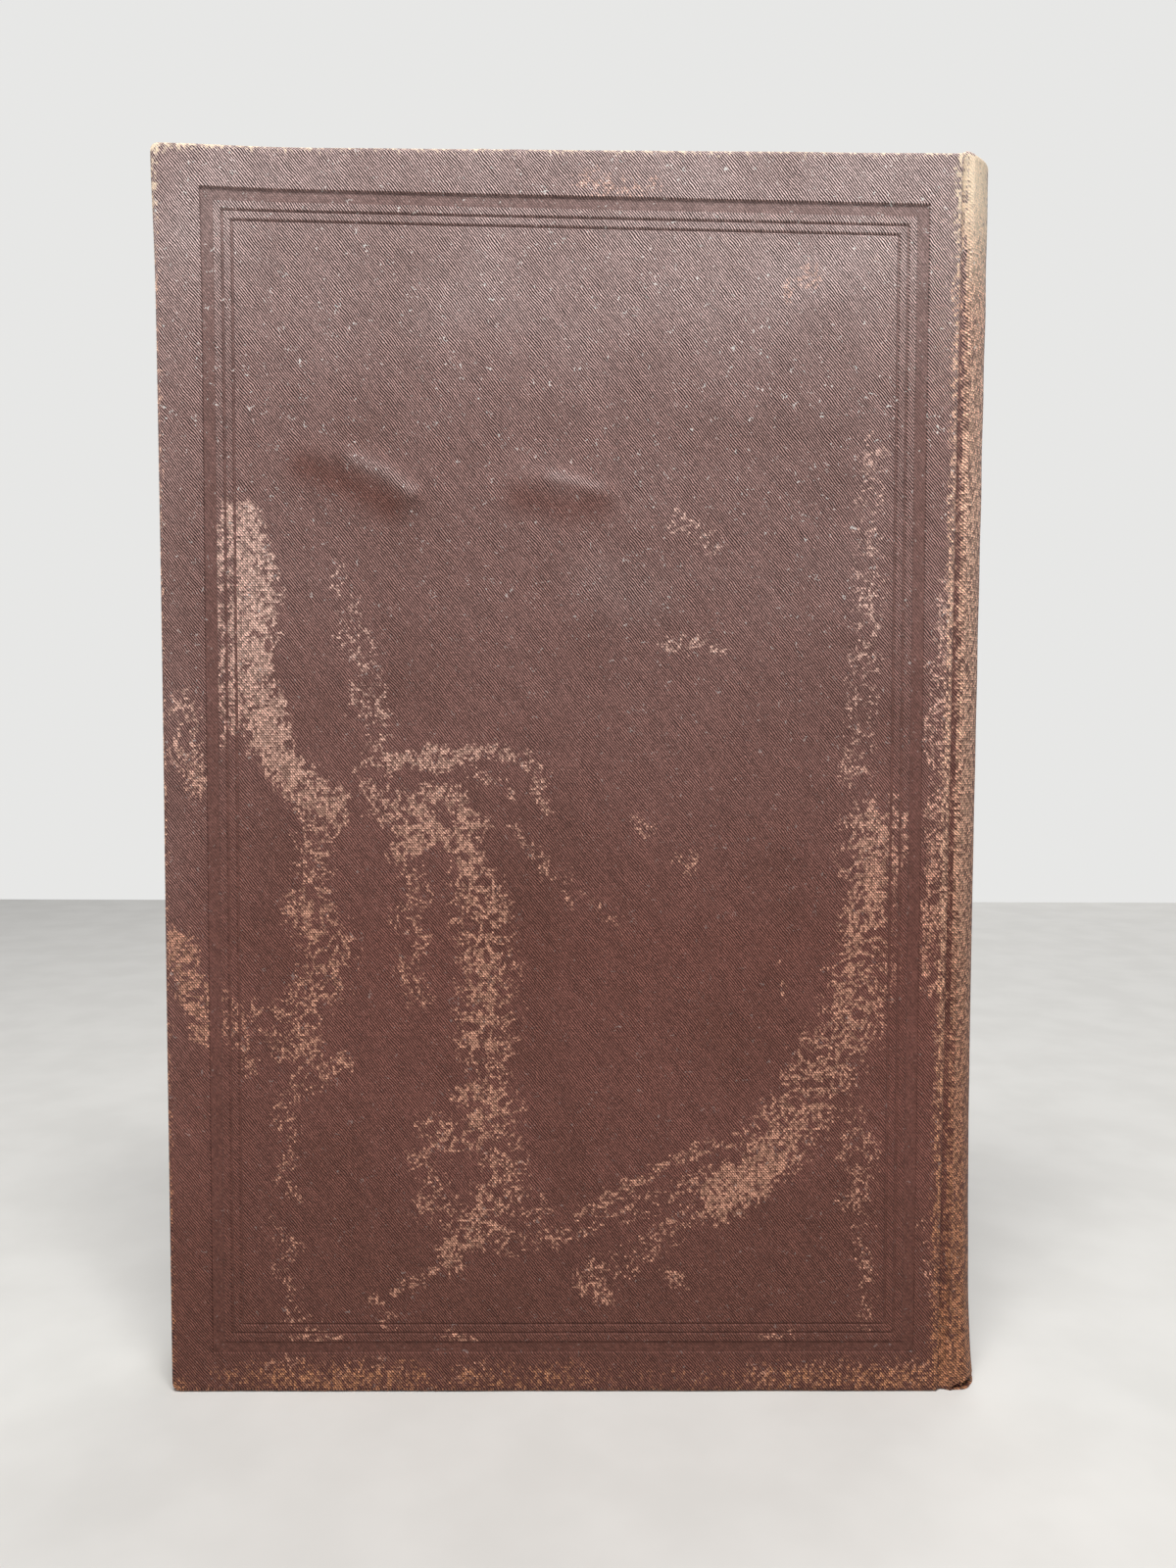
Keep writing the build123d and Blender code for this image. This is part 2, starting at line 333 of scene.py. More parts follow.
# ---------------------------------------------------------------------------------------------
# Endpapers: one folded sheet at each end. One half is pasted down inside the cover, where it
# dips from the cloth's turned-in margin to the bare board. The other half is the free leaf.
# ---------------------------------------------------------------------------------------------
mm = 0.001
turn_in_width = 15.0
flange_length = 28.0
dip_width = 1.4
endpaper_thickness = 0.12
fold_bulge = 0.1
fold_steps = 22
endpaper_colour = (0.66, 0.53, 0.345, 1)
endpaper_dark = (0.61, 0.475, 0.295, 1)


def grid_lines(low, high, pitch, marks=()):
    """Places from low to high, about pitch apart, with one on each mark."""
    lines = [low]
    for stop in sorted(mark for mark in marks if low < mark < high) + [high]:
        count = max(1, round((stop - lines[-1]) / pitch))
        lines += list(np.linspace(lines[-1], stop, count + 1)[1:])
    return np.array(lines)


def smooth_step(values, low, high):
    share = np.clip((np.asarray(values, float) - low) / (high - low), 0, 1)
    return share * share * (3 - 2 * share)


def grid_faces(columns, rows, first=0, flipped=False):
    """The four-sided faces of a grid whose points run down each column in turn."""
    i, j = np.meshgrid(np.arange(columns - 1), np.arange(rows - 1), indexing="ij")
    corner = first + (i * rows + j).ravel()
    faces = np.stack([corner, corner + rows, corner + rows + 1, corner + 1], 1)
    return faces[:, ::-1] if flipped else faces


def mesh_piece(name, points, faces, finish, fields=None):
    """A smooth mesh from points in millimetres, with named numbers on its points."""
    mesh = bpy.data.meshes.new(name)
    mesh.from_pydata((np.asarray(points, float) * mm).tolist(), [], np.asarray(faces).tolist())
    mesh.materials.append(finish)
    mesh.shade_smooth()
    mesh.set_sharp_from_angle(angle=math.radians(38))
    for key, values in (fields or {}).items():
        values = np.asarray(values, np.float32)
        kind, part = ("FLOAT", "value") if values.ndim == 1 else ("FLOAT_VECTOR", "vector")
        mesh.attributes.new(key, kind, "POINT").data.foreach_set(part, values.ravel())
    made = bpy.data.objects.new(name, mesh)
    bpy.context.scene.collection.objects.link(made)
    return made


endpaper_finish = paper_finish("aged_endpaper", endpaper_colour, endpaper_dark, leaf_lines=False)
book_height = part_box("back_cloth")[1].z / mm
fore_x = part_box("back_cloth")[0].x / mm

for side_name, side in (("back", -1), ("front", 1)):
    paste_low, paste_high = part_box(f"{side_name}_pastedown")
    leaf_low, leaf_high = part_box(f"{side_name}_endpaper")
    paste_y = min(abs(paste_low.y), abs(paste_high.y)) / mm
    leaf_y = max(abs(leaf_low.y), abs(leaf_high.y)) / mm
    dip = abs(paste_high.y - paste_low.y) / mm - 0.15
    dip_low_x = fore_x + turn_in_width
    dip_high_x = paste_high.x / mm - flange_length
    step_marks = [dip_low_x, dip_low_x + dip_width, dip_high_x - dip_width, dip_high_x]
    step_marks += [mark + dip_width / 2 for mark in step_marks[::2]]
    paste_x = grid_lines(paste_low.x / mm, paste_high.x / mm, 3.0, step_marks)
    fold = np.linspace(0, 1, fold_steps + 1)[1:-1]
    fold_x = paste_high.x / mm + fold_bulge * np.sin(math.pi * fold)
    leaf_x = grid_lines(leaf_low.x / mm, leaf_high.x / mm, 5.0)[::-1]
    sheet_x = np.concatenate([paste_x, fold_x, leaf_x])
    pasted = np.concatenate([np.ones(len(paste_x)), 1 - fold, np.zeros(len(leaf_x))])
    share_z = grid_lines(0, 1, 0.02, [0.05, 0.055, 0.06, 0.94, 0.945, 0.95])
    low_z = leaf_low.z / mm + pasted * (paste_low.z - leaf_low.z) / mm
    high_z = leaf_high.z / mm + pasted * (paste_high.z - leaf_high.z) / mm
    x = np.repeat(sheet_x[:, None], len(share_z), 1)
    z = low_z[:, None] + share_z[None, :] * (high_z - low_z)[:, None]
    flat_y = leaf_y + pasted[:, None] * (paste_y - leaf_y) + 0 * z
    dip_high_z = book_height - turn_in_width
    inside = smooth_step(x, dip_low_x, dip_low_x + dip_width)
    inside = inside * (1 - smooth_step(x, dip_high_x - dip_width, dip_high_x))
    inside = inside * smooth_step(z, turn_in_width, turn_in_width + dip_width)
    inside = inside * (1 - smooth_step(z, dip_high_z - dip_width, dip_high_z))
    flat_y = flat_y + dip * inside * (pasted[:, None] == 1)
    points = np.stack([x, side * flat_y, z], -1).reshape(-1, 3)
    faces = grid_faces(len(sheet_x), len(share_z), flipped=side < 0)
    endpaper = mesh_piece(f"{side_name}_endpaper_sheet", points, faces, endpaper_finish)
    thickness = endpaper.modifiers.new("thickness", "SOLIDIFY")
    thickness.thickness = endpaper_thickness * mm
    thickness.offset = -1
    endpaper = plain_mesh(endpaper)
    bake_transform(endpaper)
    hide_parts(f"{side_name}_pastedown", f"{side_name}_endpaper")

# ---------------------------------------------------------------------------------------------
# Headbands: striped cotton worked over a cord on the head and tail of the back, with a cloth
# tab glued down behind it.
# ---------------------------------------------------------------------------------------------
stitch_count = 38
band_half_angle = math.radians(46)
stitch_radius = 0.00017
cord_radius = 0.00062
headband_tab = 0.008
thread_red = (0.36, 0.075, 0.055, 1)
thread_cream = (0.72, 0.61, 0.43, 1)


def thread_finish(name, colour, shadow):
    """Dusty cotton thread, its twist drawn round it."""
    made, tree, shader = new_finish(name, roughness=0.85, specular_ior_level=0.2)
    place = object_place(tree)
    twist = grain(tree, place, 5200.0, 2.0)
    colour = blend_colours(tree, ease(tree, twist, 0.35, 0.65), shadow, colour)
    tree.links.new(colour, shader.inputs["Base Color"])
    relief(tree, shader, twist, 0.00004)
    return made


red_thread = thread_finish("red_headband_thread", thread_red, (0.16, 0.03, 0.025, 1))
cream_thread = thread_finish("cream_headband_thread", thread_cream, (0.40, 0.31, 0.19, 1))


def headband_tree(plain, striped):
    number = "NodeSocketFloat"
    tree, given = start_tree("headband", {
        "Bead Radius": (number, 0.008),
        "Half Angle": (number, 0.8),
        "Centre": ("NodeSocketVector", None),
        "Stitches": ("NodeSocketInt", 30),
        "Cord Radius": (number, 0.0006),
        "Thread Radius": (number, 0.00016),
        "Tab Start": (number, 0.0),
        "Tab End": (number, 0.0),
    })
    sweep = times(tree, given["Half Angle"], 2.0)
    start = times(tree, given["Half Angle"], -1.0)
    arc = shape_node(tree, "CurveArc", {
        "Radius": given["Bead Radius"], "Start Angle": start, "Sweep Angle": sweep, "Resolution": 60,
    }, mode="RADIUS")
    arc = shape_node(tree, "Transform", {"Geometry": arc, "Translation": given["Centre"]})
    cord_ring = shape_node(tree, "CurvePrimitiveCircle", {"Resolution": 12, "Radius": given["Cord Radius"]})
    cord = shape_node(tree, "CurveToMesh", {"Curve": arc, "Profile Curve": cord_ring, "Fill Caps": True})
    stitch_inputs = {"Curve": arc, "Count": given["Stitches"]}
    stitch_points = add_node(tree, "GeometryNodeCurveToPoints", stitch_inputs, mode="COUNT")
    loop_radius = plus(tree, given["Cord Radius"], times(tree, given["Thread Radius"], 0.4))
    loop = shape_node(tree, "CurvePrimitiveCircle", {"Resolution": 18, "Radius": loop_radius})
    thread = shape_node(tree, "CurvePrimitiveCircle", {"Resolution": 6, "Radius": given["Thread Radius"]})
    stitch = shape_node(tree, "CurveToMesh", {"Curve": loop, "Profile Curve": thread})
    stitches = shape_node(tree, "InstanceOnPoints", {
        "Points": stitch_points.outputs["Points"],
        "Instance": stitch,
        "Rotation": stitch_points.outputs["Rotation"],
    })
    number_of = tree.nodes.new("GeometryNodeInputIndex").outputs[0]
    odd = calc(tree, "LESS_THAN", calc(tree, "MODULO", number_of, 4.0), 2.0)
    stitches = shape_node(tree, "StoreNamedAttribute", {
        "Geometry": stitches, "Name": "striped", "Value": odd,
    }, data_type="FLOAT", domain="INSTANCE")
    tab_low = point_at(tree, y=given["Tab Start"])
    tab_high = point_at(tree, y=given["Tab End"])
    tab_line = shape_node(tree, "CurvePrimitiveLine", {"Start": tab_low, "End": tab_high})
    tab = shape_node(tree, "CurveToMesh", {"Curve": arc, "Profile Curve": tab_line})
    joined = tree.nodes.new("GeometryNodeJoinGeometry")
    for part in (cord, tab, stitches):
        tree.links.new(part, joined.inputs[0])
    real = shape_node(tree, "RealizeInstances", {"Geometry": joined.outputs[0]})
    real = shape_node(tree, "SetMaterial", {"Geometry": real, "Material": plain})
    is_striped = shape_node(tree, "InputNamedAttribute", {"Name": "striped"}, data_type="FLOAT")
    is_striped = calc(tree, "GREATER_THAN", is_striped, 0.5)
    every_other = {"Geometry": real, "Selection": is_striped, "Material": striped}
    real = shape_node(tree, "SetMaterial", every_other)
    add_node(tree, "NodeGroupOutput", {"Geometry": real})
    return tree


band_tree = headband_tree(cream_thread, red_thread)
for band_name, text_edge, up in (("head_band", text_high.z, 1), ("tail_band", text_low.z, -1)):
    band_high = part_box(band_name)[1]
    bead_radius = band_high.x - spine_centre_x - cord_radius - stitch_radius
    bead_z = text_edge + up * (cord_radius + stitch_radius)
    band = grow(f"{band_name}_stitched", band_tree, {
        "Bead Radius": bead_radius,
        "Half Angle": band_half_angle,
        "Centre": (spine_centre_x, 0.0, bead_z),
        "Stitches": stitch_count,
        "Cord Radius": cord_radius,
        "Thread Radius": stitch_radius,
        "Tab Start": 0.0,
        "Tab End": up * headband_tab,
    })
    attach(band, "book_block")
    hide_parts(band_name)

# ---------------------------------------------------------------------------------------------
# Under the spine: open-weave mull and brown paper lining glued over the sewn back, linen tapes
# that cross it, and their ends on each board. These keep their own shapes.
# ---------------------------------------------------------------------------------------------
mull_thread_pitch = 0.0011
tape_thread_pitch = 0.00045


def woven_finish(name, thread, gap, pitch, depth):
    """Plain weave seen on any face: threads both ways with darker gaps between them."""
    made, tree, shader = new_finish(name, roughness=0.9, specular_ior_level=0.15)
    place = object_place(tree)
    parts = add_node(tree, "ShaderNodeSeparateXYZ", {0: place})
    turn = 2 * math.pi / pitch
    across = plus(tree, parts.outputs["X"], parts.outputs["Y"])
    warp = calc(tree, "SINE", times(tree, across, turn))
    weft = calc(tree, "SINE", times(tree, parts.outputs["Z"], turn))
    threads = ease(tree, calc(tree, "MAXIMUM", warp, weft), -0.3, 0.8)
    dirt = ease(tree, grain(tree, place, 90.0, 3.0), 0.35, 0.7, 0.0, 0.4)
    colour = blend_colours(tree, threads, gap, thread)
    colour = blend_colours(tree, dirt, colour, gap)
    tree.links.new(colour, shader.inputs["Base Color"])
    relief(tree, shader, threads, depth)
    return made


def board_finish(name, plain, dark):
    """Pressed rope and straw fibres: speckled grey-brown board."""
    made, tree, shader = new_finish(name, roughness=0.9, specular_ior_level=0.15)
    place = object_place(tree)
    fibres = grain(tree, stretched(tree, place, (1.0, 1.0, 0.35)), 900.0, 4.0, 0.65)
    cloud = grain(tree, place, 60.0, 3.0)
    colour = blend_colours(tree, ease(tree, fibres, 0.35, 0.68), dark, plain)
    colour = blend_colours(tree, ease(tree, cloud, 0.35, 0.75, 0.0, 0.35), colour, dark)
    tree.links.new(colour, shader.inputs["Base Color"])
    relief(tree, shader, fibres, 0.00008)
    return made


def dress(node_name, finish):
    """Gives a kept piece its finish."""
    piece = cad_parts[node_name]
    if not piece.material_slots:
        piece.data.materials.append(finish)
    for place in piece.material_slots:
        place.link = "OBJECT"
        place.material = finish


mull_thread, mull_gap = (0.62, 0.54, 0.39, 1), (0.30, 0.20, 0.11, 1)
tape_thread, tape_gap = (0.66, 0.58, 0.43, 1), (0.42, 0.33, 0.21, 1)
mull_finish = woven_finish("starched_mull", mull_thread, mull_gap, mull_thread_pitch, 0.0001)
tape_finish = woven_finish("linen_tape", tape_thread, tape_gap, tape_thread_pitch, 0.00005)
kraft_finish = board_finish("brown_lining_paper", (0.36, 0.225, 0.115, 1), (0.24, 0.14, 0.065, 1))
card_finish = board_finish("spine_card", (0.40, 0.31, 0.20, 1), (0.27, 0.19, 0.11, 1))
millboard_finish = board_finish("millboard", (0.36, 0.275, 0.17, 1), (0.21, 0.145, 0.08, 1))
dress("mull", mull_finish)
dress("spine_lining", kraft_finish)
for tape_name in ("head", "middle", "tail"):
    dress(f"{tape_name}_tape", tape_finish)
    for side_name in ("back", "front"):
        dress(f"{side_name}_{tape_name}_slip", tape_finish)

# ---------------------------------------------------------------------------------------------
# Case boards: two millboards and a thin card for the spine, all under the cloth, and the mull's
# flange glued on each board beside the joint.
# ---------------------------------------------------------------------------------------------
dress("spine_inlay", card_finish)
for side_name in ("back", "front"):
    dress(f"{side_name}_board", millboard_finish)
    dress(f"{side_name}_mull_flange", mull_finish)

# ---------------------------------------------------------------------------------------------
# Back cover cloth: maroon book cloth with a fine diagonal rib, drawn over the board, turned in
# round its three free edges, and carried over the joint to the ridge of the spine. The blind
# frame is pressed in. The head is grey with dust and with a painted sheen of the overhead light,
# and the raised parts are rubbed to bare thread.
# ---------------------------------------------------------------------------------------------
rib_pitch = 0.426
rib_slope = math.radians(39.5)
thread_pitch = 0.45
cloth_maroon = (0.164, 0.067, 0.053, 1)
cloth_brown = (0.126, 0.051, 0.038, 1)
cloth_dust_and_sheen = (0.400, 0.300, 0.283, 1)
# Rubbed and bare thread: paler high on the cover, partly painted falloff of the overhead light; the head
# colour is bare thread with a painted highlight
rubbed_low = (0.64, 0.325, 0.225, 1)
rubbed_high = (0.84, 0.55, 0.46, 1)
bare_low = (0.46, 0.205, 0.108, 1)
bare_high = (1.0, 0.63, 0.47, 1)
bare_head_lit = (1.0, 0.84, 0.62, 1)
lint_white = (0.78, 0.74, 0.70, 1)
edge_round = 0.8
board_corner = 1.6
cover_depth = 3.0
cloth_thickness = 0.4
tail_flare_out = 0.62
tail_flare_along = 0.39
tail_flare_reach = 8.0
slack_height = 0.05
slack_length = 34.0
knocked_reach = 16.0
knocked_up = 0.75
knocked_out = 0.6
fore_edge_bow = 0.18
head_cap_rise = 0.75
cover_width = (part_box("back_board")[1].x / mm + cloth_thickness) - fore_x
ridge_u = spine_centre_x / mm + spine_radius / mm * math.cos(spine_half_angle) - fore_x
ridge_depth = (-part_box("back_cloth")[0].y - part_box("spine_cloth")[1].y) / mm
half_thickness = -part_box("back_cloth")[0].y / mm

# The pressed frame, measured inwards from its outer step, and how far each place is pressed in
frame_knots = [0, 0.15, 2.35, 2.5, 3.75, 4.0, 4.2, 4.45, 5.55, 5.8, 6.0, 6.25]
frame_pressed = [0, 1, 1, 0, 0, 0.9, 0.9, 0, 0, 0.9, 0.9, 0]
frame_margins = {"fore": 8.5, "joint": 5.4, "head": 8.5, "tail": 8.0}

# The cover's section across the joint: places past the board's edge, and their depths
joint_section = [
    (151.5, 0.0), (151.72, 0.08), (151.86, 0.24), (151.93, 0.55), (152.02, 1.0), (152.2, 1.5),
    (152.5, 1.85), (152.9, 2.0), (153.3, 1.92), (153.65, 1.6), (153.95, 1.25), (154.2, 1.02),
]
# The cloth's section over a board's free edge: distance in from the edge, and share of the depth
edge_section = [
    (0.45, 0.03), (0.18, 0.11), (0.04, 0.23), (0.0, 0.38), (0.0, 0.62), (0.04, 0.77),
    (0.18, 0.89), (0.5, 0.98), (1.0, 1.0), (3.5, 1.0), (8.0, 1.0), (12.0, 1.0), (15.0, 1.0), (15.06, 0.88),
]


def cloth_finish(name):
    """Ribbed book cloth that wears, fades, frays and takes a painted sheen by the numbers on its own
    points, with painted light and shade on its ribs and threads.
    """
    made, tree, shader = new_finish(name, roughness=0.7, specular_ior_level=0.12, sheen_weight=0.03)

    def number_on_points(key):
        return add_node(tree, "ShaderNodeAttribute", attribute_name=key).outputs["Fac"]

    place = add_node(tree, "ShaderNodeAttribute", attribute_name="cloth_place").outputs["Vector"]
    rub = number_on_points("rub")
    dust_and_sheen = number_on_points("dust_and_sheen")
    bare = number_on_points("bare")
    pressed = number_on_points("pressed")
    parts = add_node(tree, "ShaderNodeSeparateXYZ", {0: place})

    wander = grain(tree, place, 0.35, 3.0)
    direction = (math.cos(rib_slope), math.sin(rib_slope), 0.0)
    along = (-math.sin(rib_slope), math.cos(rib_slope), 0.0)
    across_ribs = add_node(tree, "ShaderNodeVectorMath", {0: place, 1: direction}, operation="DOT_PRODUCT")
    along_ribs = add_node(tree, "ShaderNodeVectorMath", {0: place, 1: along}, operation="DOT_PRODUCT")
    phase = times(tree, across_ribs.outputs["Value"], 2 * math.pi / rib_pitch)
    phase = plus(tree, phase, times(tree, wander, 9.0))
    rib_wave = calc(tree, "SINE", phase)
    rib_place = point_at(tree, across_ribs.outputs["Value"], times(tree, along_ribs.outputs["Value"], 0.14))
    slubs = grain(tree, rib_place, 0.85, 2.0, 0.6)
    across_threads = calc(tree, "SINE", times(tree, parts.outputs["X"], 2 * math.pi / thread_pitch))
    down_threads = calc(tree, "SINE", times(tree, parts.outputs["Y"], 2 * math.pi / thread_pitch))
    weave = plus(tree, across_threads, times(tree, down_threads, 1.4))
    weave = times(tree, weave, 0.42)
    crossing = add_node(tree, "ShaderNodeVectorMath", {0: place, 1: (thread_pitch, thread_pitch, 1000.0)},
                        operation="SNAP").outputs["Vector"]
    chance = add_node(tree, "ShaderNodeTexWhiteNoise", {"Vector": crossing}, noise_dimensions="3D")
    chance = minus(tree, chance.outputs["Value"], 0.5)

    clouds = grain(tree, place, 0.035, 4.0, 0.6)
    fine = grain(tree, place, 2.6, 2.0)
    # Darker brown towards the tail
    maroon_up_from_tail = ease(tree, parts.outputs["Y"], 12.0, 60.0, 0.25, 1.0)
    maroon_share = times(tree, ease(tree, clouds, 0.3, 0.55, 0.4, 1.0), maroon_up_from_tail)
    colour = blend_colours(tree, maroon_share, cloth_brown, cloth_maroon)
    # Grey dust with a painted sheen of the overhead light, thickest at the head
    dust_and_sheen_share = plus(tree, dust_and_sheen, times(tree, minus(tree, clouds, 0.5), dust_and_sheen))
    # Less dust and painted sheen in the pressed frame: painted shade in its hollows
    dust_and_sheen_share = times(tree, dust_and_sheen_share, minus(tree, 1.0, times(tree, pressed, 0.35)))
    colour = blend_colours(tree, dust_and_sheen_share, colour, cloth_dust_and_sheen)
    smoothed = minus(tree, 1.0, times(tree, pressed, 0.7))
    # Painted light and shade on the ribs: lit crests that glint most under the head's painted sheen, dark
    # valleys; slubs and mottle are the cloth's own tone
    rib_light_strength = times(tree, ease(tree, dust_and_sheen, 0.0, 0.5, 0.95, 1.9), smoothed)
    rib_light_and_tone = plus(tree, times(tree, rib_wave, rib_light_strength), times(tree, chance, 0.4))
    evened = plus(tree, 1.0, times(tree, times(tree, rib_light_strength, rib_light_strength), 0.29))
    rib_light_and_tone = calc(tree, "DIVIDE", calc(tree, "EXPONENT", rib_light_and_tone), evened)
    rib_light_and_tone = times(tree, rib_light_and_tone, ease(tree, slubs, 0.3, 0.7, 0.9, 1.1))
    rib_light_and_tone = times(tree, rib_light_and_tone, ease(tree, fine, 0.2, 0.8, 0.82, 1.18))
    # Painted shade darkens the pressed frame a little
    rib_light_and_tone = times(tree, rib_light_and_tone, minus(tree, 1.0, times(tree, pressed, 0.07)))
    colour = shaded(tree, colour, rib_light_and_tone)

    # Rubbed patches: bare thread spreads from wandering lines until only dark islands are left
    patches = grain(tree, place, 0.33, 3.0, 0.6, 0.4)
    lines = calc(tree, "ABSOLUTE", minus(tree, patches, 0.5))
    lines = calc(tree, "SUBTRACT", 1.0, times(tree, lines, 9.0), clamp=True)
    ragged = times(tree, minus(tree, fine, 0.5), 0.9)
    ragged = plus(tree, ragged, times(tree, chance, 0.55))
    amount = plus(tree, times(tree, rub, 1.3), times(tree, lines, 0.95))
    amount = plus(tree, minus(tree, amount, 1.19), ragged)
    rubbed = times(tree, ease(tree, amount, -0.05, 0.5), ease(tree, rub, 0.0, 0.12))
    # Painted light on the thread tops and painted shade in the gaps between threads, with random tone from
    # thread to thread
    thread_light_and_tone = plus(tree, times(tree, weave, 0.5), times(tree, rib_wave, 0.7))
    thread_light_and_tone = plus(tree, thread_light_and_tone, times(tree, chance, 1.2))
    thread_light_and_tone = times(tree, calc(tree, "EXPONENT", thread_light_and_tone), 0.49)
    # Rubbed thread paler higher up, partly a painted falloff of the overhead light
    tan = blend_colours(tree, ease(tree, parts.outputs["Y"], 85.0, 170.0), rubbed_low, rubbed_high)
    tan = shaded(tree, tan, thread_light_and_tone)
    colour = blend_colours(tree, times(tree, rubbed, 0.9), colour, tan)

    # Edges, joints and caps: worn through to undyed thread, brown with handling at the tail and paler
    # towards the head, partly from painted overhead light, with a painted highlight on the head cap
    high_share = ease(tree, parts.outputs["Y"], 12.0, 190.0)
    bare_colour = blend_colours(tree, high_share, bare_low, bare_high)
    bare_colour = shaded(tree, bare_colour, thread_light_and_tone)
    lit_head_share = ease(tree, parts.outputs["Y"], 208.0, 237.0, 0.0, 0.75)
    bare_colour = blend_colours(tree, lit_head_share, bare_colour, bare_head_lit)
    flaking = grain(tree, stretched(tree, place, (1.0, 0.35, 1.0)), 1.1, 3.0, 0.6)
    worn_through = plus(tree, bare, times(tree, minus(tree, flaking, 0.5), 1.6))
    worn_through = plus(tree, worn_through, times(tree, chance, 0.6))
    worn_through = times(tree, ease(tree, worn_through, 0.2, 0.85), ease(tree, bare, 0.0, 0.15))
    colour = blend_colours(tree, worn_through, colour, bare_colour)

    specks = ease(tree, grain(tree, place, 1.1, 1.0, 0.4, 1.6), 0.70, 0.76)
    specks = times(tree, specks, ease(tree, dust_and_sheen, 0.0, 0.5, 0.15, 0.9))
    colour = blend_colours(tree, specks, colour, lint_white)
    tree.links.new(colour, shader.inputs["Base Color"])

    rib_height = times(tree, plus(tree, times(tree, rib_wave, 0.5), 0.5),
                      minus(tree, 1.0, times(tree, pressed, 0.8)))
    rib_height = times(tree, rib_height, minus(tree, 1.0, times(tree, rubbed, 0.5)))
    height = plus(tree, rib_height, times(tree, weave, 0.25))
    height = plus(tree, height, times(tree, fine, 0.3))
    relief(tree, shader, height, 0.000035)
    gloss = ease(tree, rubbed, 0.0, 1.0, 0.66, 0.86)
    tree.links.new(gloss, shader.inputs["Roughness"])
    return made


def distance_to(u, v, line):
    """How far each place lies from a line through points, or from one point."""
    nearest = np.full(np.shape(u), 1e9)
    for (u1, v1), (u2, v2) in zip(line, line[1:] or line):
        du, dv = u2 - u1, v2 - v1
        share = np.clip(((u - u1) * du + (v - v1) * dv) / max(du * du + dv * dv, 1e-9), 0, 1)
        nearest = np.minimum(nearest, np.hypot(u - u1 - share * du, v - v1 - share * dv))
    return nearest


def rubbing(u, v, strokes):
    """How rubbed each place is, from strokes of a radius, a strength and a line."""
    rub = np.zeros(np.shape(u))
    for radius, strength, line in strokes:
        reach = np.clip(1 - (distance_to(u, v, line) / (1.75 * radius)) ** 2, 0, 1)
        rub = np.maximum(rub, strength * np.minimum(1, 1.12 * reach))
    return rub


def ripple(u, v, length, seed):
    """A slow unevenness between about -1 and 1."""
    turns = np.random.default_rng(seed).uniform(0, 2 * math.pi, (5, 2))
    total = np.zeros(np.shape(u))
    for share, (angle, shift) in zip((1.0, 1.3, 1.7, 2.3, 0.8), turns):
        wave = (u * math.cos(angle) + v * math.sin(angle)) * 2 * math.pi / length * share
        total = total + np.sin(wave + shift)
    return total / 3


